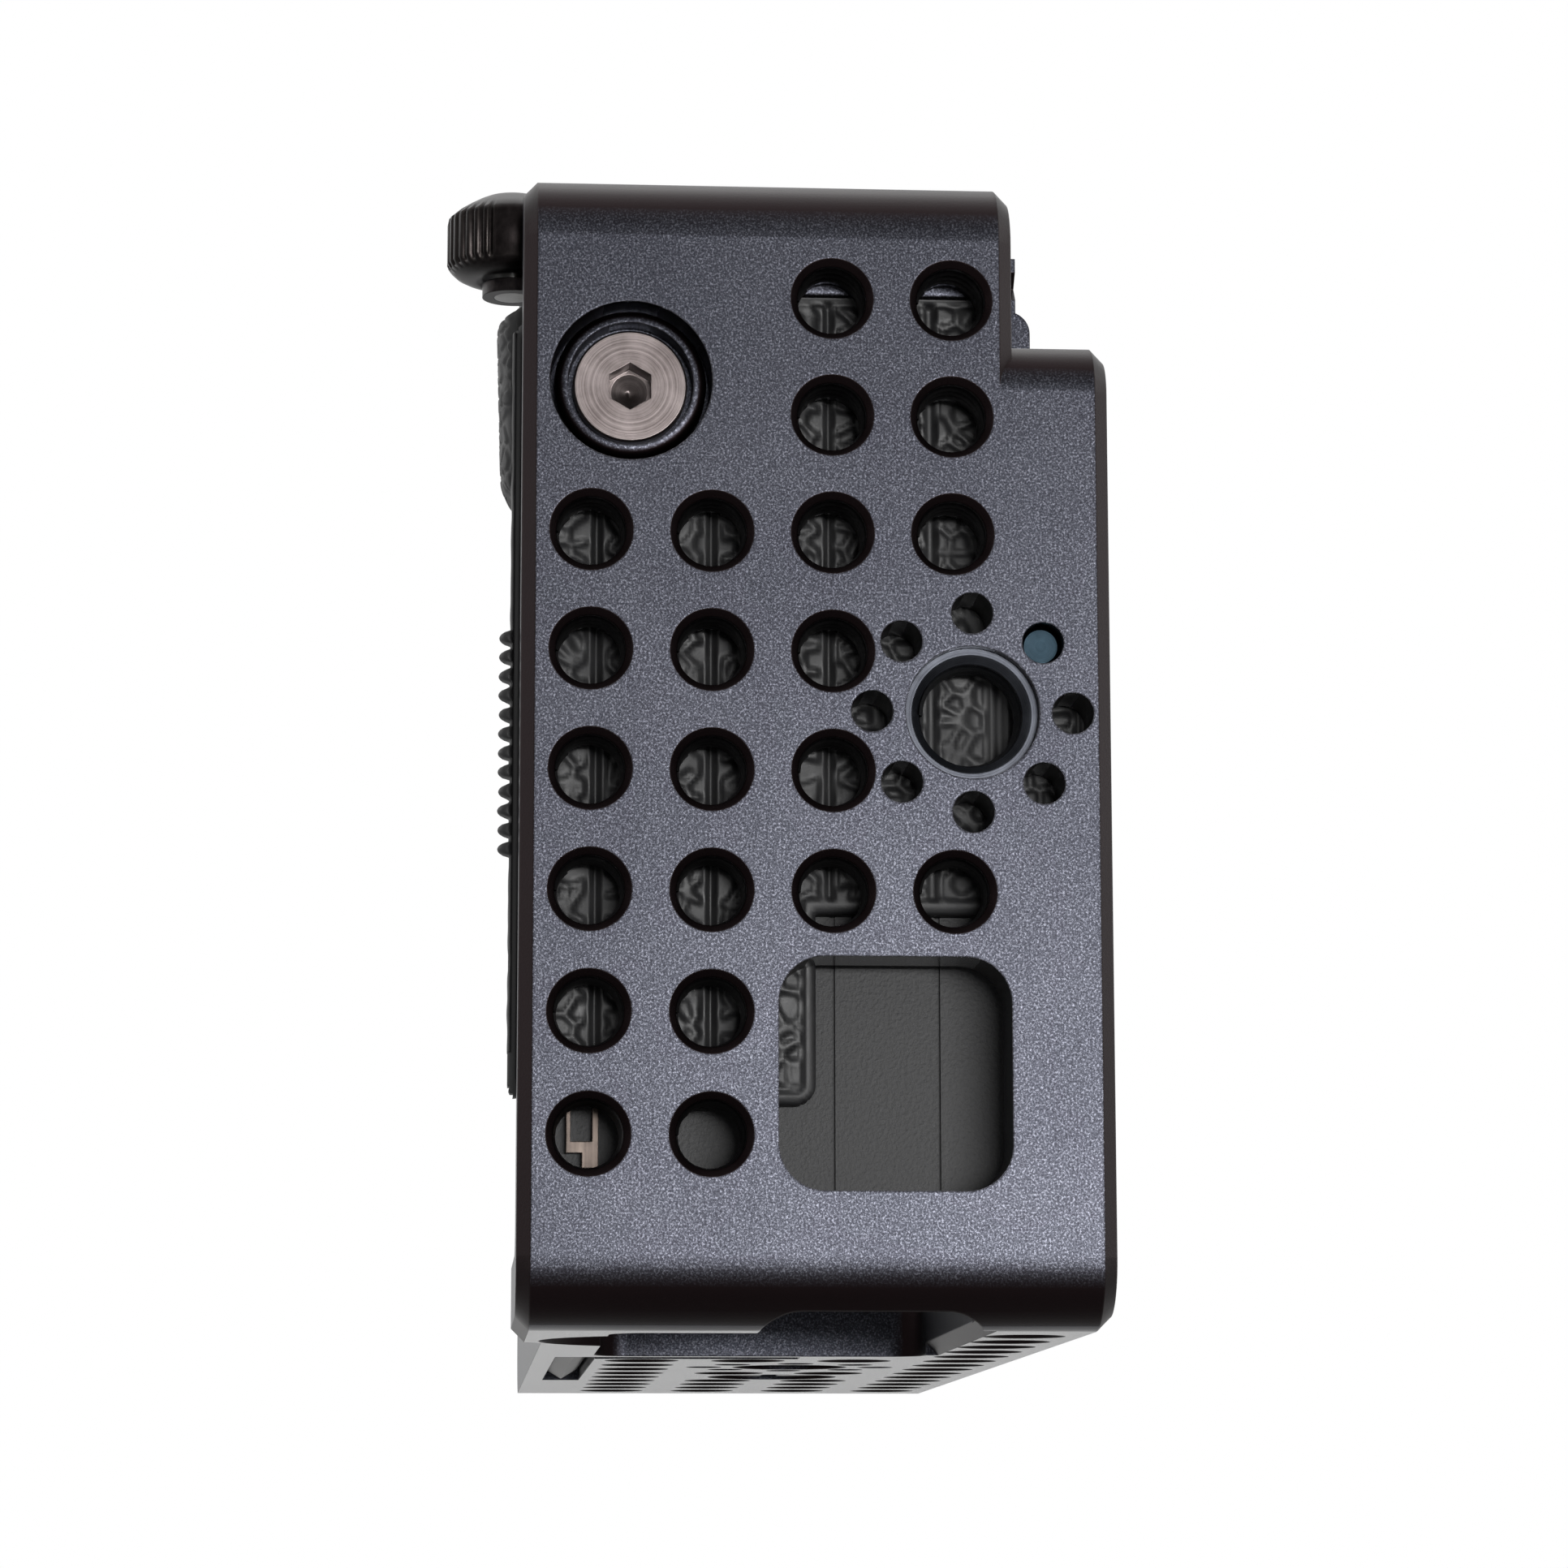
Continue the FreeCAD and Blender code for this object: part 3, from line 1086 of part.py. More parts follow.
def check_and_write():
    """Stops on any failed object or shape, then writes one file for each node."""
    for obj in doc.Objects:
        if {"Invalid", "Error"} & set(obj.State):
            raise RuntimeError(f"{obj.Name} failed: {obj.State}")
    for node in NODES:
        found = [obj for obj in doc.Objects if obj.Label == node]
        shape = found[0].Shape
        if shape.isNull() or not shape.isValid() or not shape.Solids:
            raise RuntimeError(f"{node} has no valid shape")
        shape.exportStep(f"parts/{node}.step")
        print(f"{node}: {len(shape.Solids)} solids, {shape.Volume:.1f} mm3")


build()
check_and_write()
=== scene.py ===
import math

import bmesh
import bpy
from mathutils import Euler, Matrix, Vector, noise


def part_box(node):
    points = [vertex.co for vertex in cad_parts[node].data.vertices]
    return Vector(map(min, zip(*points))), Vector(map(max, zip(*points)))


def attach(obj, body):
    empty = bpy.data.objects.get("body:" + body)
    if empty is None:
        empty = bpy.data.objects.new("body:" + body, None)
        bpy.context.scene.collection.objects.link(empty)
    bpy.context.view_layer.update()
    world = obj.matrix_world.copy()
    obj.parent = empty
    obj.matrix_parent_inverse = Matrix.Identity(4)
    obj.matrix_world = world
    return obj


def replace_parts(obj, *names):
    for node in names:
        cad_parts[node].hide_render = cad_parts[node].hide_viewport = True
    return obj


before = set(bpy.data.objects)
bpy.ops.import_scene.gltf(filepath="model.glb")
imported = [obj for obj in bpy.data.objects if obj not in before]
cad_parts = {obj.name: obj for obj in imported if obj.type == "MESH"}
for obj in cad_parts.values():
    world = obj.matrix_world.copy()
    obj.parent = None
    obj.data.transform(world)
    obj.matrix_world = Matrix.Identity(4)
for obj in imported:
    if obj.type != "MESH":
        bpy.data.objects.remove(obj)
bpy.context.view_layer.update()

# A machined camera cage, seen square on to its grip wall.
# Lengths are in millimetres, and are turned to the frame's metres where a mesh, lamp or node is made.

MM = 0.001

# Without a seed the leather grain would differ from run to run
noise.seed_set(1)


def box_of(node):
    """A node's corners at rest, in millimetres."""
    low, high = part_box(node)
    return low / MM, high / MM


def centre_of(node):
    low, high = box_of(node)
    return (low + high) / 2


# Places taken from the frame's own nodes
FRAME_LOW, FRAME_HIGH = box_of("main_frame")
PLATE_INNER = box_of("side_plate")[0].x
LINER_LOW, LINER_HIGH = box_of("grip_liner")
WHEEL_LOW, WHEEL_HIGH = box_of("brace_wheel")
LUG_CENTRE = centre_of("lug_clamp_screw")
WALL_INSERT_CENTRE = centre_of("wall_thread_insert")

# The grid of quarter-inch holes. Grip rows run from the front to the back and from the top down,
# base and top rows from the grip side to the left and from the front to the back.
GRIP_HOLES = ("oo..", "oo..", "oooo", ".ooo", ".ooo", "oooo", "..oo", "..oo")
BASE_HOLES = ("oooooooooooooo", ".....o..o.oooo", ".....o..o.oooo", ".....ooooooooo")
TOP_HOLES = ("......oooooooo", "..............", "..............", "...........ooo")
PITCH = 9.525
WALL = 6.0
REAR_COLUMN = FRAME_HIGH.y - 5.47
LOWEST_ROW = 14.86
TOP_FRONT_ROW = -13.6
PLATE_FRONT_COLUMN = -13.05

# Threads as drawn, and how far behind the outer, inner or insert's face they start
QUARTER_INCH = {"length": 4.0, "major": 2.76, "depth": 0.26, "pitch": 1.27}
THREE_EIGHTHS = {"length": 3.0, "major": 4.12, "depth": 0.35, "pitch": 1.5875}
OUTER_START = 1.3
INNER_START = 0.8
INSERT_START = 1.2

# The liner's outline: rectangles as (low y, low z, high y, high z), rounded, with a hole for the lug screw
LINER_REAR_PART = (2.9, 17.8, 27.2, 81.0)
LINER_PARTS = (LINER_REAR_PART, (-11.9, 33.0, 9.0, 84.0), (-18.9, 33.0, -11.9, 77.0))
LINER_ROUND = 1.6
LUG_HOLE = 4.3

# The liner's relief, measured from its sheet, and the y of its sunk lines, whose middles lie further on
RELIEF = 0.3
BORDER = 1.0
BORDER_ROUND = 0.7
BORDER_AND_GAP = 1.25
LINER_LINES = (20.1, 10.9, 1.6, -6.7)
LINE_TO_MIDDLE = 0.25
LINE_HALF_WIDTH = 0.3
LINE_DEPTH = 0.45
LINE_WITH_BANKS = 0.75
LINER_GRAIN = 1.9
THUMB_GRAIN = 1.35


# Meshes
def piece(name, make, body, material):
    """A new smooth mesh piece, made in millimetres, riding on a body."""
    mesh = bpy.data.meshes.new(name)
    work = bmesh.new()
    make(work)
    bmesh.ops.recalc_face_normals(work, faces=work.faces)
    for vert in work.verts:
        vert.co *= MM
    for face in work.faces:
        face.smooth = True
    work.to_mesh(mesh)
    work.free()
    mesh.materials.append(material)
    made = bpy.data.objects.new(name, mesh)
    bpy.context.scene.collection.objects.link(made)
    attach(made, body)
    return made


def bridge(work, first, second, closed=True):
    """Faces between two rows of as many vertices."""
    count = len(first)
    for index in range(count if closed else count - 1):
        after = (index + 1) % count
        work.faces.new((first[index], first[after], second[after], second[index]))


def solid_from(work, sections):
    """A closed solid through sections of as many vertices, capped at both ends."""
    work.faces.new(sections[0])
    for first, second in zip(sections, sections[1:]):
        bridge(work, first, second)
    work.faces.new(sections[-1])


def axes_of(axis):
    """The direction of an axis, x or z, and two directions square to it."""
    if axis == "x":
        return Vector((1, 0, 0)), Vector((0, 1, 0)), Vector((0, 0, 1))
    return Vector((0, 0, 1)), Vector((1, 0, 0)), Vector((0, 1, 0))


def add_thread(work, start, axis, length, major, depth, pitch):
    """A threaded wall: one ridge that winds along the hole, from its root inward."""
    along, across, up = axes_of(axis)
    start = Vector(start)
    steps = 28
    filled = 0.94
    total = int(length / pitch * steps)
    profile = ((-0.5, 0.0), (0.0, -depth), (0.5, 0.0))
    previous = None
    for step in range(total + 1):
        turn = 2 * math.pi * step / steps
        out = across * math.cos(turn) + up * math.sin(turn)
        middle = start + along * (length * step / total)
        section = [work.verts.new(middle + along * (shift * pitch * filled) + out * (major + drop))
                   for shift, drop in profile]
        if previous:
            bridge(work, previous, section, closed=False)
        previous = section


def marks(rows):
    """Row and column of each hole that a pattern marks."""
    for row, text in enumerate(rows):
        for column, letter in enumerate(text):
            if letter == "o":
                yield row, column


def grid_x(column):
    """The x of a column of the base and top, whose grid is centred on the origin."""
    return (column - (len(BASE_HOLES[0]) - 1) / 2) * PITCH


def grid_z(row):
    """The z of a row of the grip wall, counted from the top."""
    return LOWEST_ROW + (len(GRIP_HOLES) - 1 - row) * PITCH


def frame_thread_places():
    """Start and axis of every quarter-inch hole of the main frame."""
    rearmost = len(GRIP_HOLES[0]) - 1
    for row, column in marks(GRIP_HOLES):
        y = REAR_COLUMN - (rearmost - column) * PITCH
        yield (FRAME_LOW.x + OUTER_START, y, grid_z(row)), "x"
    middle_row = (len(BASE_HOLES) - 1) / 2
    for row, column in marks(BASE_HOLES):
        yield (grid_x(column), (row - middle_row) * PITCH, OUTER_START), "z"
    for row, column in marks(TOP_HOLES):
        yield (grid_x(column), TOP_FRONT_ROW + row * PITCH, FRAME_HIGH.z - WALL + INNER_START), "z"


def plate_thread_places():
    """Start and axis of the side plate's holes: its front column, and two more in its top row."""
    for row in range(len(GRIP_HOLES)):
        yield (PLATE_INNER + INNER_START, PLATE_FRONT_COLUMN, LOWEST_ROW + row * PITCH), "x"
    for column in (1, 2):
        yield (PLATE_INNER + INNER_START, PLATE_FRONT_COLUMN + column * PITCH, grid_z(0)), "x"


def threads_at(places):
    """A maker of quarter-inch threads at these places."""
    def make(work):
        for start, axis in places:
            add_thread(work, start, axis, **QUARTER_INCH)
    return make


def insert_threads(work):
    """Coarser threads inside the two steel inserts."""
    centre = WALL_INSERT_CENTRE
    start = box_of("wall_thread_insert")[0].x + INSERT_START
    add_thread(work, (start, centre.y, centre.z), "x", **THREE_EIGHTHS)
    start = box_of("base_thread_insert")[0].z + INSERT_START
    add_thread(work, (0, 0, start), "z", **THREE_EIGHTHS)


def cells(place, size):
    """Relief of moulded leather grain: 0 in the grooves, 1 on the rounded islands."""
    groove, bank = 0.06, 0.22
    warp = noise.noise_vector(place / (size * 1.6)) * 0.16
    nearest = noise.voronoi(place / size + warp)[0]
    edge = nearest[1] - nearest[0]
    rise = min(1.0, max(0.0, (edge - groove) / bank))
    return rise * rise * (3 - 2 * rise)


def part_distance(y, z, low_y, low_z, high_y, high_z):
    """Distance to one rounded rectangle, negative inside it."""
    out_y = abs(y - (low_y + high_y) / 2) - (high_y - low_y) / 2 + LINER_ROUND
    out_z = abs(z - (low_z + high_z) / 2) - (high_z - low_z) / 2 + LINER_ROUND
    return math.hypot(max(out_y, 0), max(out_z, 0)) + min(max(out_y, out_z), 0) - LINER_ROUND


def outline_distance(y, z):
    """Distance to the liner's outline, negative inside it."""
    away = min(part_distance(y, z, *part) for part in LINER_PARTS)
    hole = LUG_HOLE - math.hypot(y - LUG_CENTRE.y, z - LUG_CENTRE.z)
    return max(away, hole)


def on_outline(y, z):
    """The same place moved on to the outline."""
    nudge = 0.02
    away = outline_distance(y, z)
    slope_y = (outline_distance(y + nudge, z) - away) / nudge
    slope_z = (outline_distance(y, z + nudge) - away) / nudge
    length = max(0.3, math.hypot(slope_y, slope_z))
    return y - away * slope_y / length, z - away * slope_z / length


def liner_height(y, z):
    """Relief above the sheet: cells, a plain border along the outline, and sunk lines."""
    depth = -outline_distance(y, z)
    if depth < BORDER:
        return RELIEF * math.sin(math.pi / 2 * min(1.0, max(0.0, depth) / BORDER_ROUND))
    if depth < BORDER_AND_GAP:
        return 0.0
    from_line = min(abs(y - line - LINE_TO_MIDDLE) for line in LINER_LINES)
    if from_line < LINE_WITH_BANKS:
        return RELIEF if from_line > LINE_HALF_WIDTH else -LINE_DEPTH
    return cells(Vector((y, z, 3.0)), LINER_GRAIN) * RELIEF


def liner(work):
    """Grip liner: a sheet with cell grain, four sunk lines and a smooth rounded border."""
    step = 0.27
    sheet_x = LINER_LOW.x + 0.32
    back_x = LINER_HIGH.x - 0.02
    low_y, low_z = LINER_LOW.y - step, LINER_LOW.z - step
    count_y = int((LINER_REAR_PART[2] - low_y) / step) + 2
    count_z = int((LINER_HIGH.z - low_z) / step) + 2
    found = {}
    for i in range(count_y):
        for j in range(count_z):
            y = low_y + i * step
            z = low_z + j * step
            away = outline_distance(y, z)
            if away > step * 0.5:
                continue
            rise = liner_height(y, z)
            if away > -step * 0.5:
                y, z = on_outline(y, z)
                rise = 0.0
            found[i, j] = work.verts.new((sheet_x - rise, y, z))
    for i, j in list(found):
        corners = [found.get(key) for key in ((i, j), (i + 1, j), (i + 1, j + 1), (i, j + 1))]
        if all(corners):
            work.faces.new(corners)
    rim = [edge for edge in work.edges if edge.is_boundary]
    made = bmesh.ops.extrude_edge_only(work, edges=rim)["geom"]
    for vert in (item for item in made if isinstance(item, bmesh.types.BMVert)):
        vert.co.x = back_x
    back_rim = [item for item in made if isinstance(item, bmesh.types.BMEdge)]
    bmesh.ops.holes_fill(work, edges=back_rim, sides=0)
    loose = [vert for vert in work.verts if not vert.link_faces]
    bmesh.ops.delete(work, geom=loose, context="VERTS")


def rib_wave(z):
    """How far the bead stands out at a height: 12 ribs with rounded crowns, 0 elsewhere."""
    low, pitch, count = 37.5, 1.55, 12
    crown = 0.66
    place = (z - low) / pitch
    share = place % 1
    if not 0 <= place < count or share >= crown:
        return 0.0
    return math.sin(math.pi * (share / crown)) ** 0.4


def bead(work):
    """Ribbed bead along the liner's back edge, past the frame."""
    rows, columns = 420, 12
    root_y = 27.0
    lip, rib, waver = 0.25, 0.9, 0.1
    low, high = LINER_LOW.z + 4, LINER_REAR_PART[3] - 1
    half = (LINER_HIGH.x - LINER_LOW.x) / 2
    sections = []
    for row in range(rows + 1):
        z = low + (high - low) * row / rows
        reach = lip + rib * rib_wave(z) + waver * noise.noise(Vector((0, 0, z * 0.5)))
        section = []
        for column in range(columns + 1):
            turn = math.pi * column / columns
            x = LINER_LOW.x + half - half * 0.92 * math.cos(turn)
            section.append(work.verts.new((x, root_y + reach * math.sin(turn) ** 0.6, z)))
        sections.append(section)
    solid_from(work, sections)


def thumb_roll(work):
    """Thumb rest: a padded leather-grained hump that rolls over the frame's back edge."""
    low, high = box_of("thumb_rest")
    rows, columns = 110, 64
    inset = 0.05
    root_y, seat_y = 26.15, 24.6
    reach = high.y - 26.25
    groove_depth = 0.16
    middle_x, half = (low.x + high.x) / 2, (high.x - low.x) / 2
    height = high.z - low.z - 2 * inset
    sections = []
    for row in range(rows + 1):
        share = row / rows
        z = low.z + inset + height * share
        end = min(1.0, share / 0.2, (1 - share) / 0.1)
        bulge = math.sin(end * math.pi / 2) ** 0.7
        lean = 0.8 + 0.2 * share
        section = []
        for column in range(columns + 1):
            turn = math.pi * column / columns
            across = math.cos(turn)
            x = middle_x - half * math.copysign(abs(across) ** 0.5, across)
            crown = max(0.0, math.sin(turn)) ** 0.55
            y = root_y + reach * bulge * lean * crown
            y -= groove_depth * (1 - cells(Vector((x, y, z)), THUMB_GRAIN)) * min(1.0, math.sin(turn) * 2)
            section.append(work.verts.new((x, y, z)))
        for x in (high.x, low.x):
            section.append(work.verts.new((x, seat_y, z)))
        sections.append(section)
    solid_from(work, sections)


def ribbed_strip(low, high, along, pitch, depth):
    """A maker of a moulded rubber strip whose top has cross ribs."""
    steps_per_rib, fewest = 6, 8
    outline = ((0, 0), (1, 0), (1, 0.75), (0.9, 0.95), (0.5, 1), (0.1, 0.95), (0, 0.75))

    def make(work):
        axis = 0 if along == "x" else 1
        other = 1 - axis
        length = high[axis] - low[axis]
        width = high[other] - low[other]
        count = max(fewest, int(length / (pitch / steps_per_rib)))
        sections = []
        for step in range(count + 1):
            place = low[axis] + length * step / count
            top = high.z - depth * (0.5 - 0.5 * math.cos(2 * math.pi * (place - low[axis]) / pitch))
            section = []
            for side, rise in outline:
                spot = [0, 0, low.z + (top - low.z) * rise]
                spot[axis] = place
                spot[other] = low[other] + width * side
                section.append(work.verts.new(spot))
            sections.append(section)
        solid_from(work, sections)
    return make


def base_strips(work):
    """Two ribbed rubber strips that the camera stands on."""
    low, high = box_of("base_pads")
    width = 2.4
    for front in (low.y, high.y - width):
        strip_low = Vector((low.x, front, low.z))
        strip_high = Vector((high.x, front + width, high.z))
        ribbed_strip(strip_low, strip_high, "x", 1.6, 0.2)(work)


def turned_wheel(work):
    """Brace wheel: a turned body, rounded below and domed above, ribbed at its back, with its cam."""
    centre = Vector(((WHEEL_LOW.x + WHEEL_HIGH.x) / 2, (WHEEL_LOW.y + WHEEL_HIGH.y) / 2, 0))
    radius = (WHEEL_HIGH.x - WHEEL_LOW.x) / 2
    body_low = 86.2
    ribs, per_rib = 38, 10
    rib_share, flank, rib_depth, front_inset = 0.62, 0.1, 0.3, 0.12
    ribs_from, ribs_fade = 0.28, 0.1
    # Height above the body's lowest level, share of the radius, and how strongly it is ribbed
    outline = ((0.0, 0.30, 0), (0.0, 0.62, 0), (0.2, 0.76, 0), (0.5, 0.87, 0), (0.9, 0.95, 0),
               (1.05, 0.97, 1), (1.3, 1.0, 1), (4.7, 1.0, 1), (5.1, 0.985, 1), (5.35, 0.93, 0.4),
               (5.7, 0.86, 0), (6.2, 0.72, 0), (6.7, 0.56, 0), (7.0, 0.44, 0), (7.05, 0.40, 0),
               (5.6, 0.38, 0), (5.6, 0.30, 0))
    rings = []
    for rise, share, ribbed in outline:
        level = min(body_low + rise, WHEEL_HIGH.z)
        ring = []
        for step in range(ribs * per_rib):
            turn = 2 * math.pi * step / (ribs * per_rib)
            phase = (step % per_rib) / per_rib
            tooth = max(0.0, min(1.0, phase / flank, (rib_share - phase) / flank))
            back = min(1.0, max(0.0, (math.sin(turn) - ribs_from) / ribs_fade))
            inset = front_inset + back * (rib_depth * (1 - tooth) - front_inset)
            out = radius * share - ribbed * inset
            ring.append(work.verts.new(centre + Vector((out * math.cos(turn), out * math.sin(turn),
                                                        level))))
        rings.append(ring)
    for first, second in zip(rings, rings[1:] + rings[:1]):
        bridge(work, first, second)
    add_cam(work, centre, body_low)


def add_cam(work, centre, body_low):
    """The wheel's cam: a pin below the body, off its centre."""
    off_centre, radius, sides, overlap = 3.6, 0.6, 24, 0.4
    turns = [2 * math.pi * side / sides for side in range(sides)]
    rings = []
    for level in (WHEEL_LOW.z, body_low + overlap):
        middle = Vector((centre.x, centre.y - off_centre, level))
        rings.append([work.verts.new(middle + Vector((radius * math.cos(turn), radius * math.sin(turn), 0)))
                      for turn in turns])
    solid_from(work, rings)


# Materials
# A Mix node's inputs and its colour output share their names, so they go by number
NUMBER_A, NUMBER_B, COLOUR_A, COLOUR_B = 2, 3, 6, 7
NUMBER_OUT, COLOUR_OUT = 0, 2


def linear(colour):
    """An sRGB hex colour as linear red, green, blue and alpha."""
    parts = [int(colour[index:index + 2], 16) / 255 for index in (1, 3, 5)]
    return [part / 12.92 if part <= 0.04045 else ((part + 0.055) / 1.055) ** 2.4
            for part in parts] + [1.0]


def node(tree, kind, inputs=(), stops=(), **settings):
    """Adds a shader node, sets it, links or fills its inputs and places its colour stops."""
    made = tree.nodes.new("ShaderNode" + kind)
    for name, value in settings.items():
        setattr(made, name, value)
    for name, value in dict(inputs).items():
        socket = made.inputs[name]
        if isinstance(value, bpy.types.NodeSocket):
            tree.links.new(value, socket)
        else:
            socket.default_value = value
    for index, (place, colour) in enumerate(stops):
        points = made.color_ramp.elements
        point = points[index] if index < 2 else points.new(place)
        point.position = place
        point.color = colour if isinstance(colour, list) else [colour, colour, colour, 1]
    return made


def blank(name, **constants):
    """A new material with its tree, its shader and the place on the object, in metres."""
    material = bpy.data.materials.new(name)
    material.use_nodes = True
    tree = material.node_tree
    shader = tree.nodes["Principled BSDF"]
    for socket, value in constants.items():
        shader.inputs[socket.replace("_", " ")].default_value = value
    place = node(tree, "TexCoord").outputs["Object"]
    return material, tree, shader, place


def connect(tree, shader, **sources):
    """Links the shader's inputs, such as Base_Color, to the values that drive them."""
    for socket, source in sources.items():
        tree.links.new(source, shader.inputs[socket.replace("_", " ")])


def per_mm(size):
    """A texture's scale for a feature of this size in millimetres."""
    return 1 / (size * MM)


def rounded_edges(tree, radius):
    """A normal that rounds the edges by this radius in millimetres."""
    return node(tree, "Bevel", {"Radius": radius * MM}, samples=6).outputs["Normal"]


def edge_wear_and_highlight(tree, rounded, share):
    """Up to this share where a rounded edge turns away from its face, and 0 on flat faces: a mask for edge
    wear and a painted edge highlight.
    """
    flat = node(tree, "NewGeometry").outputs["True Normal"]
    match = node(tree, "VectorMath", {0: rounded, 1: flat}, operation="DOT_PRODUCT").outputs["Value"]
    worn_and_highlit = node(tree, "ValToRGB", {"Fac": match}, ((0.55, 1.0), (0.985, 0.0))).outputs["Color"]
    return node(tree, "Math", {0: worn_and_highlit, 1: share}, operation="MULTIPLY").outputs["Value"]


def facing(tree):
    """How nearly a face is square to an axis of the part, and its normal's upward share."""
    normal = node(tree, "NewGeometry").outputs["Normal"]
    there = node(tree, "VectorMath", {0: normal}, operation="ABSOLUTE").outputs["Vector"]
    axes = node(tree, "SeparateXYZ", {"Vector": there}).outputs
    two = node(tree, "Math", {0: axes["X"], 1: axes["Y"]}, operation="MAXIMUM").outputs["Value"]
    most = node(tree, "Math", {0: two, 1: axes["Z"]}, operation="MAXIMUM").outputs["Value"]
    square = node(tree, "ValToRGB", {"Fac": most}, ((0.9, 0.0), (0.997, 1.0))).outputs["Color"]
    upward = node(tree, "SeparateXYZ", {"Vector": normal}).outputs["Z"]
    return square, upward


def blasted_black(name="bead_blasted_black_anodised_aluminium"):
    """Bead-blasted and dyed black: flat faces sparkle, curved ones carry a brown-black painted shade, and
    the underside is smoother, so that it shines at a low angle, with a lighter colour there as painted
    sheen."""
    material, tree, shader, place = blank(name, Metallic=1.0)
    straight_down = -0.94
    grit = node(tree, "TexNoise", {"Vector": place, "Scale": per_mm(0.17), "Detail": 3.0,
                                   "Roughness": 0.75}).outputs["Fac"]
    cloud = node(tree, "TexNoise", {"Vector": place, "Scale": per_mm(14), "Detail": 4.0,
                                    "Roughness": 0.6}).outputs["Fac"]
    square, upward = facing(tree)
    rounded = rounded_edges(tree, 0.22)
    grain = node(tree, "ValToRGB", {"Fac": grit}, ((0.34, linear("#1b1b1f")), (0.52, linear("#2c2d32")),
                                                   (0.70, linear("#5b5c63")))).outputs["Color"]
    shade = node(tree, "Mix", {"Factor": cloud, COLOUR_A: linear("#c4c4c8"),
                               COLOUR_B: linear("#ffffff")}, data_type="RGBA").outputs[COLOUR_OUT]
    tinted = node(tree, "Mix", {"Factor": 1.0, COLOUR_A: grain, COLOUR_B: shade}, data_type="RGBA",
                  blend_type="MULTIPLY").outputs[COLOUR_OUT]
    # Painted shade: curved faces get a near-black colour that stands in for the dark surroundings they
    # would reflect
    body = node(tree, "Mix", {"Factor": square, COLOUR_A: linear("#191314"), COLOUR_B: tinted},
                data_type="RGBA").outputs[COLOUR_OUT]
    # Edges lighter: partly edge wear, partly a painted highlight
    worn_and_highlit = node(tree, "Mix", {"Factor": edge_wear_and_highlight(tree, rounded, 0.18), COLOUR_A: body,
                              COLOUR_B: linear("#6a625e")}, data_type="RGBA").outputs[COLOUR_OUT]
    # Painted sheen: the underside gets a lighter colour, as well as a lower roughness, so it shines
    # brighter at a low angle
    under = node(tree, "Math", {0: upward, 1: straight_down}, operation="LESS_THAN").outputs["Value"]
    colour = node(tree, "Mix", {"Factor": under, COLOUR_A: worn_and_highlit, COLOUR_B: linear("#46464a")},
                  data_type="RGBA").outputs[COLOUR_OUT]
    gloss = node(tree, "Mix", {"Factor": under, NUMBER_A: 0.38, NUMBER_B: 0.1},
                 data_type="FLOAT").outputs[NUMBER_OUT]
    bump = node(tree, "Bump", {"Strength": 0.5, "Distance": 0.02 * MM, "Height": grit,
                               "Normal": rounded}).outputs["Normal"]
    connect(tree, shader, Base_Color=colour, Roughness=gloss, Normal=bump)
    return material


def milled_black(name="milled_black_anodised_aluminium", dark="#121011", pale="#201d1d"):
    """Milled and dyed black, with fine cutter lines: smoother and darker than the blasted wall."""
    material, tree, shader, place = blank(name, Metallic=1.0, Roughness=0.34)
    lines = node(tree, "TexWave", {"Vector": place, "Scale": per_mm(0.5) / (2 * math.pi),
                                   "Distortion": 0.3, "Detail": 1.0}, wave_type="BANDS",
                 bands_direction="Z").outputs["Fac"]
    speck = node(tree, "TexNoise", {"Vector": place, "Scale": per_mm(0.5), "Detail": 4.0}).outputs["Fac"]
    rounded = rounded_edges(tree, 0.15)
    body = node(tree, "ValToRGB", {"Fac": speck}, ((0.3, linear(dark)),
                                                   (0.75, linear(pale)))).outputs["Color"]
    # Edges lighter: partly edge wear, partly a painted highlight
    colour = node(tree, "Mix", {"Factor": edge_wear_and_highlight(tree, rounded, 0.25), COLOUR_A: body,
                                COLOUR_B: linear("#5c5855")}, data_type="RGBA").outputs[COLOUR_OUT]
    bump = node(tree, "Bump", {"Strength": 0.25, "Distance": 0.01 * MM, "Height": lines,
                               "Normal": rounded}).outputs["Normal"]
    connect(tree, shader, Base_Color=colour, Normal=bump)
    return material


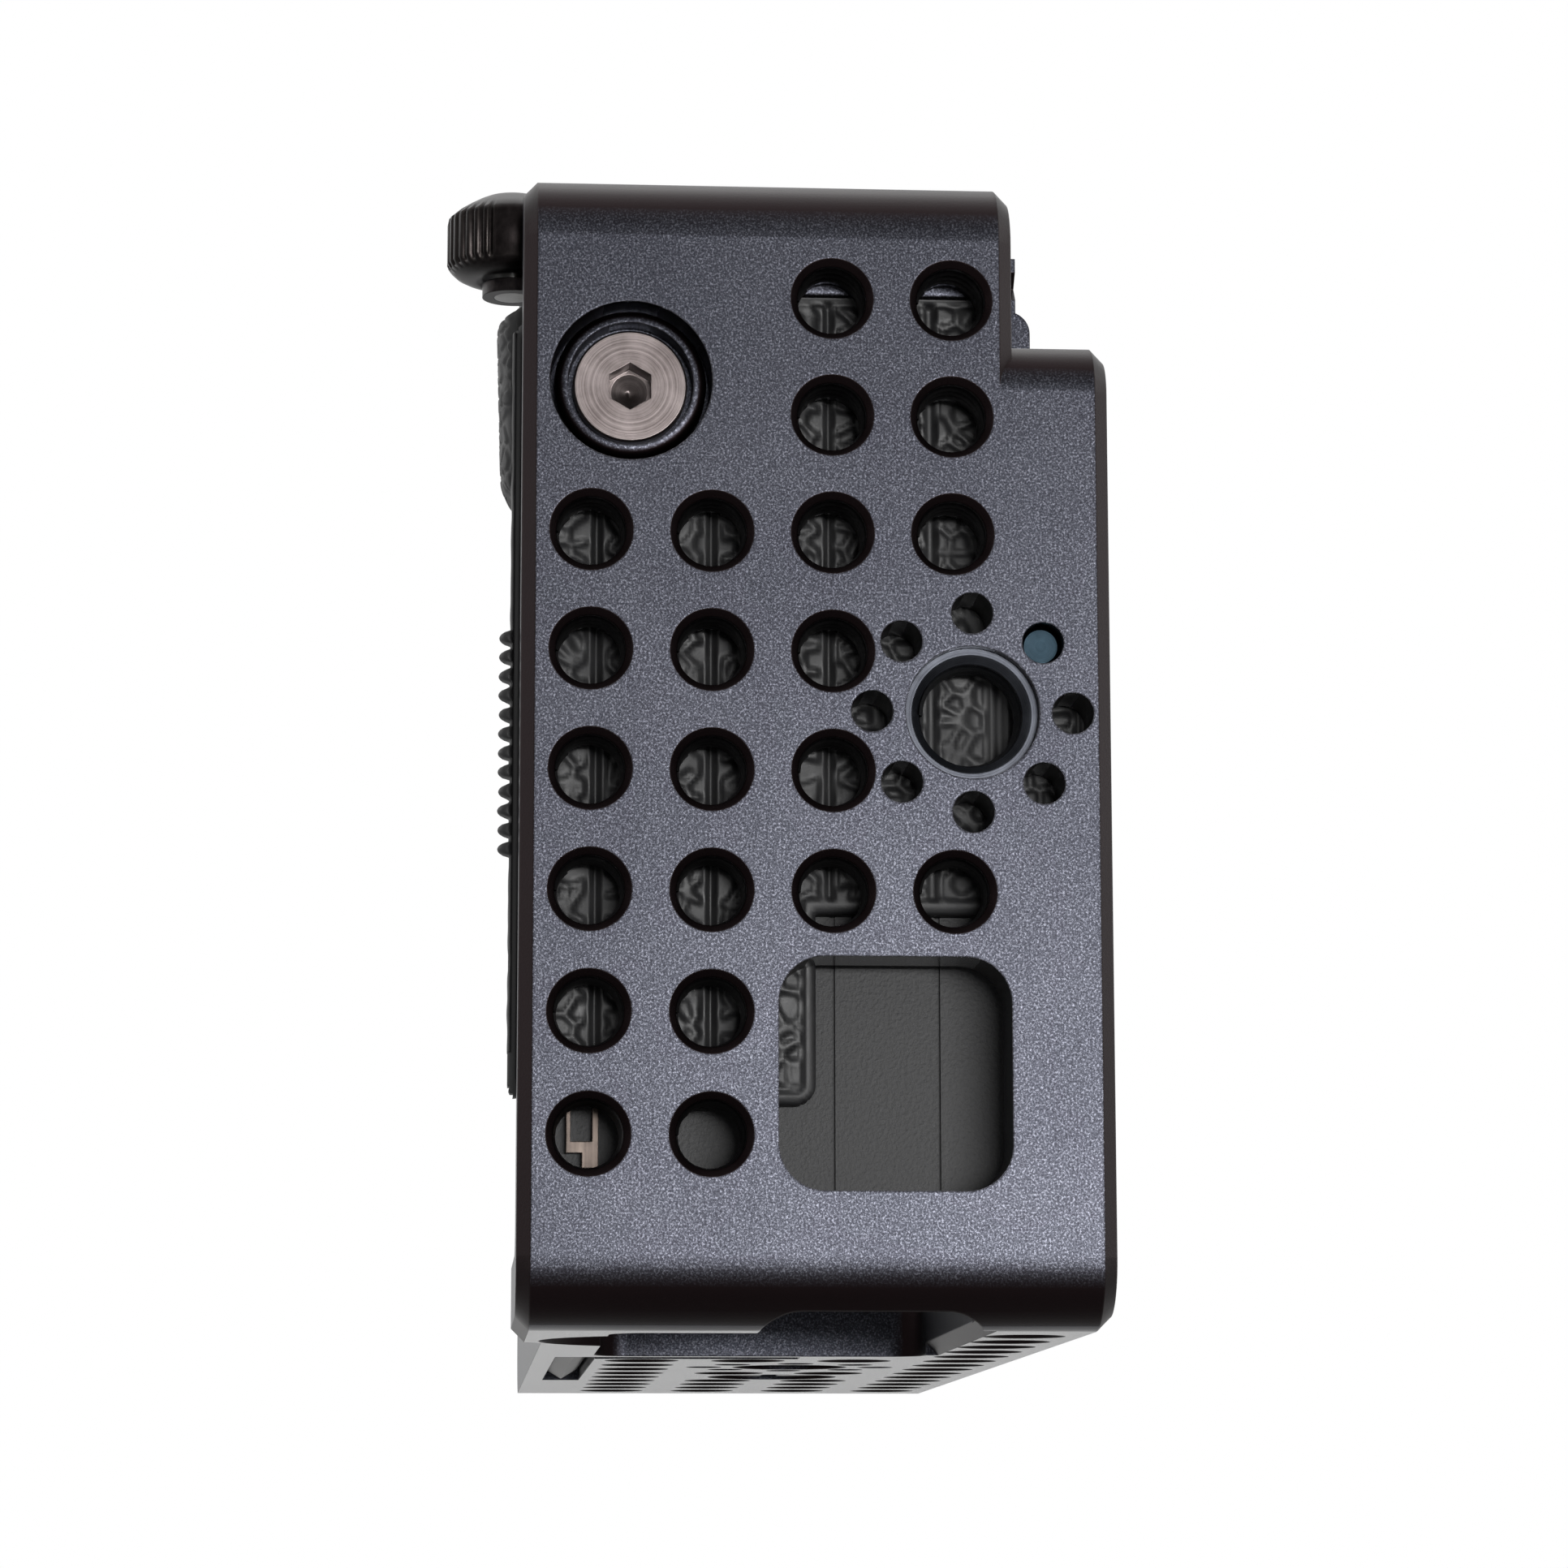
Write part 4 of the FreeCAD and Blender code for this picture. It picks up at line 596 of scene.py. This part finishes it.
def turned(name, pale, dark, centre, axis, roughness, spacing=0.22):
    """Turned metal: fine rings about an axis, and smudges."""
    material, tree, shader, place = blank(name, Metallic=1.0, Roughness=roughness, Anisotropic=0.3)
    moved = node(tree, "VectorMath", {0: place, 1: [value * MM for value in centre]},
                 operation="SUBTRACT").outputs["Vector"]
    flat = [0.0 if axis == letter else 1.0 for letter in "xyz"]
    disc = node(tree, "VectorMath", {0: moved, 1: flat}, operation="MULTIPLY").outputs["Vector"]
    radius = node(tree, "VectorMath", {0: disc}, operation="LENGTH").outputs["Value"]
    wobble = node(tree, "TexNoise", {"Vector": place, "Scale": per_mm(2.0), "Detail": 2.0}).outputs["Fac"]
    shift = node(tree, "Math", {0: wobble, 1: 0.08 * MM, 2: radius},
                 operation="MULTIPLY_ADD").outputs["Value"]
    rings = node(tree, "TexNoise", {"W": shift, "Scale": per_mm(spacing), "Detail": 3.0,
                                    "Roughness": 0.8}, noise_dimensions="1D").outputs["Fac"]
    smudge = node(tree, "TexNoise", {"Vector": place, "Scale": per_mm(3.0), "Detail": 5.0,
                                     "Roughness": 0.65}).outputs["Fac"]
    both = node(tree, "Math", {0: rings, 1: smudge}, operation="ADD").outputs["Value"]
    mean = node(tree, "Math", {0: both, 1: 0.5}, operation="MULTIPLY").outputs["Value"]
    colour = node(tree, "ValToRGB", {"Fac": mean}, ((0.38, linear(dark)),
                                                    (0.62, linear(pale)))).outputs["Color"]
    bump = node(tree, "Bump", {"Strength": 0.35, "Distance": 0.015 * MM, "Height": rings,
                               "Normal": rounded_edges(tree, 0.12)}).outputs["Normal"]
    connect(tree, shader, Base_Color=colour, Normal=bump)
    return material


def grained_rubber(name="moulded_leather_grain_rubber"):
    """Moulded rubber with leather grain: matt, with patches polished by hands."""
    material, tree, shader, place = blank(name, IOR=1.52, Specular_IOR_Level=0.3)
    fine = node(tree, "TexNoise", {"Vector": place, "Scale": per_mm(0.22), "Detail": 3.0}).outputs["Fac"]
    patch = node(tree, "TexNoise", {"Vector": place, "Scale": per_mm(3.5), "Detail": 3.0}).outputs["Fac"]
    colour = node(tree, "ValToRGB", {"Fac": patch}, ((0.3, linear("#0c0c0d")),
                                                     (0.7, linear("#161617")))).outputs["Color"]
    gloss = node(tree, "ValToRGB", {"Fac": patch}, ((0.3, 0.46), (0.7, 0.62))).outputs["Color"]
    bump = node(tree, "Bump", {"Strength": 0.3, "Distance": 0.03 * MM, "Height": fine}).outputs["Normal"]
    connect(tree, shader, Base_Color=colour, Roughness=gloss, Normal=bump)
    return material


def moulded_plastic(name="spark_grain_moulded_polycarbonate"):
    """Polycarbonate from a spark-eroded mould: an even pebbled grain of about 0.3 mm."""
    material, tree, shader, place = blank(name, Roughness=0.5, IOR=1.585, Specular_IOR_Level=0.14)
    pebble = node(tree, "TexNoise", {"Vector": place, "Scale": per_mm(0.32), "Detail": 2.0,
                                     "Roughness": 0.6}).outputs["Fac"]
    colour = node(tree, "ValToRGB", {"Fac": pebble}, ((0.3, linear("#0e0e0f")),
                                                      (0.7, linear("#19191a")))).outputs["Color"]
    bump = node(tree, "Bump", {"Strength": 0.7, "Distance": 0.05 * MM, "Height": pebble}).outputs["Normal"]
    connect(tree, shader, Base_Color=colour, Normal=bump)
    return material


def floor_paint(name="matt_white_floor_paint"):
    """Painted studio floor: matt, nearly white, with the faintest unevenness."""
    material, tree, shader, place = blank(name, Roughness=0.85)
    patch = node(tree, "TexNoise", {"Vector": place, "Scale": per_mm(120), "Detail": 3.0}).outputs["Fac"]
    tone = node(tree, "ValToRGB", {"Fac": patch}, ((0.3, linear("#e9e9e9")),
                                                   (0.8, linear("#f4f4f4")))).outputs["Color"]
    connect(tree, shader, Base_Color=tone)
    return material


ORIGIN = (0, 0, 0)
BLASTED = blasted_black()
MILLED = milled_black()
WHEEL_METAL = milled_black("turned_black_anodised_wheel", "#100e0e", "#1b1818")
TAPPED = milled_black("tapped_black_anodised_threads", "#242224", "#3a383a")
RUBBER = grained_rubber()
PLASTIC = moulded_plastic()
LUG_STEEL = turned("turned_black_oxide_steel", "#665f5e", "#453f3e", LUG_CENTRE, "x", 0.36)
OXIDE_STEEL = turned("black_oxide_steel", "#35322f", "#232120", ORIGIN, "z", 0.36, 0.3)
INSERT_STEEL = turned("dark_coated_thread_insert", "#3c3e43", "#26272b", WALL_INSERT_CENTRE, "x", 0.36)
STAINLESS = turned("turned_stainless_steel", "#9b9b9a", "#7d7d7c", centre_of("camera_screw"), "z", 0.3)
SPRING = turned("rolled_spring_steel", "#3a3430", "#231f1d", ORIGIN, "z", 0.34, 0.5)
NICKEL = turned("nickel_plated_magnet", "#b9b6ae", "#a09d96", ORIGIN, "z", 0.22, 0.6)
DOWEL = turned("blued_steel_dowel", "#1f2a31", "#131b20", centre_of("dowel_pin"), "x", 0.35, 0.35)

FINISHES = {
    "main_frame": BLASTED, "side_plate": BLASTED, "lug_clamp_cup": BLASTED, "lug_claw": MILLED,
    "brace_channel": MILLED, "brace_slider": MILLED, "top_rail": BLASTED,
    "accessory_shoe": BLASTED, "clamp_bracket": BLASTED, "clamp_jaw": BLASTED,
    "clamp_knob": WHEEL_METAL, "side_plate_screws": OXIDE_STEEL, "channel_screws": OXIDE_STEEL,
    "rail_screws": OXIDE_STEEL, "shoe_screws": OXIDE_STEEL, "bracket_screws": OXIDE_STEEL,
    "hex_key": OXIDE_STEEL, "lug_clamp_screw": LUG_STEEL, "wall_thread_insert": INSERT_STEEL,
    "base_thread_insert": STAINLESS, "dowel_pin": DOWEL, "camera_screw": STAINLESS,
    "locating_pins": STAINLESS, "wheel_pin": STAINLESS, "rail_stops": STAINLESS,
    "clamp_rods": STAINLESS, "screw_clip": SPRING, "lug_clamp_washer": SPRING,
    "panel_hook": SPRING, "shoe_leaf": SPRING, "key_magnets": NICKEL, "window_panel": PLASTIC,
}

for name, finish in FINISHES.items():
    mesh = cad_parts[name].data
    mesh.materials.clear()
    mesh.materials.append(finish)

# New and replacing pieces
piece("hole_threads", threads_at(frame_thread_places()), "cage", TAPPED)
piece("plate_threads", threads_at(plate_thread_places()), "cage", TAPPED)
piece("insert_threads", insert_threads, "cage", INSERT_STEEL)
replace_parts(piece("liner_sheet", liner, "cage", RUBBER), "grip_liner")
piece("liner_bead", bead, "cage", RUBBER)
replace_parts(piece("thumb_roll", thumb_roll, "cage", RUBBER), "thumb_rest")
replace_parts(piece("base_strips", base_strips, "cage", RUBBER), "base_pads")
jaw_pad = ribbed_strip(*box_of("jaw_pad"), along="y", pitch=1.4, depth=0.3)
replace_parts(piece("jaw_pad_ribbed", jaw_pad, "clamp_jaw", RUBBER), "jaw_pad")
brace_tip = ribbed_strip(*box_of("brace_tip"), along="y", pitch=1.2, depth=0.2)
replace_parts(piece("brace_tip_ribbed", brace_tip, "brace_slider", RUBBER), "brace_tip")
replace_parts(piece("wheel_turned", turned_wheel, "brace_wheel", WHEEL_METAL),
            "brace_wheel")


# Studio
FLOOR_LEVEL = -28.0
FLOOR_REACH = 4000

# The photograph's camera, as fitted to the wall's holes
PHOTO_EYE = (-437.70, 31.98, -17.43)
PHOTO_TURN_DEGREES = (99.3413, 0.0700, -94.1118)
SENSOR_WIDTH = 36.0
FOCAL_LENGTH = 108.03


def floor():
    mesh = bpy.data.meshes.new("floor")
    reach = FLOOR_REACH * MM
    level = FLOOR_LEVEL * MM
    corners = [(-reach, -reach, level), (reach, -reach, level), (reach, reach, level),
               (-reach, reach, level)]
    mesh.from_pydata(corners, [], [(0, 1, 2, 3)])
    mesh.materials.append(floor_paint())
    made = bpy.data.objects.new("floor", mesh)
    bpy.context.scene.collection.objects.link(made)


def softbox(name, place, target, size, power):
    """A white rectangular soft light in millimetres and watts, aimed at a target."""
    light = bpy.data.lights.new(name, "AREA")
    light.shape = "RECTANGLE"
    light.size = size[0] * MM
    light.size_y = size[1] * MM
    light.energy = power
    lamp = bpy.data.objects.new(name, light)
    lamp.visible_camera = False
    lamp.location = Vector(place) * MM
    lamp.rotation_mode = "QUATERNION"
    lamp.rotation_quaternion = (Vector(target) - Vector(place)).to_track_quat("-Z", "Y")
    bpy.context.scene.collection.objects.link(lamp)


def white_world():
    """White to the camera, in reflections and through glass; a soft grey to matt surfaces."""
    world = bpy.data.worlds.new("white_room")
    bpy.context.scene.world = world
    world.use_nodes = True
    tree = world.node_tree
    tree.nodes.clear()
    path = node(tree, "LightPath")
    seen = node(tree, "Math", {0: path.outputs["Is Camera Ray"], 1: path.outputs["Is Glossy Ray"]},
                operation="MAXIMUM").outputs["Value"]
    seen = node(tree, "Math", {0: seen, 1: path.outputs["Is Transmission Ray"]},
                operation="MAXIMUM").outputs["Value"]
    level = node(tree, "Mix", {"Factor": seen, NUMBER_A: 0.2, NUMBER_B: 1.0},
                 data_type="FLOAT").outputs[NUMBER_OUT]
    glow = node(tree, "Background", {"Color": [1, 1, 1, 1], "Strength": level}).outputs["Background"]
    node(tree, "OutputWorld", {"Surface": glow})


def photo_camera():
    """The photograph's camera: low in front of the grip wall, tilted up."""
    data = bpy.data.cameras.new("photo_camera")
    data.sensor_width = SENSOR_WIDTH
    data.lens = FOCAL_LENGTH
    data.clip_start = 10 * MM
    camera = bpy.data.objects.new("photo_camera", data)
    camera.location = Vector(PHOTO_EYE) * MM
    camera.rotation_euler = Euler([math.radians(angle) for angle in PHOTO_TURN_DEGREES])
    bpy.context.scene.collection.objects.link(camera)
    bpy.context.scene.camera = camera


floor()
white_world()
softbox("low_front", place=(-1100, -250, 25), target=(-75, 0, 30), size=(500, 90), power=16)
softbox("top", place=(0, 100, 900), target=(0, 0, 40), size=(1200, 900), power=5)
softbox("rear", place=(200, 900, 300), target=(0, 0, 40), size=(900, 600), power=2.5)
softbox("front", place=(200, -900, 300), target=(0, 0, 40), size=(900, 600), power=2.5)
photo_camera()
bpy.context.scene.view_settings.view_transform = "Standard"
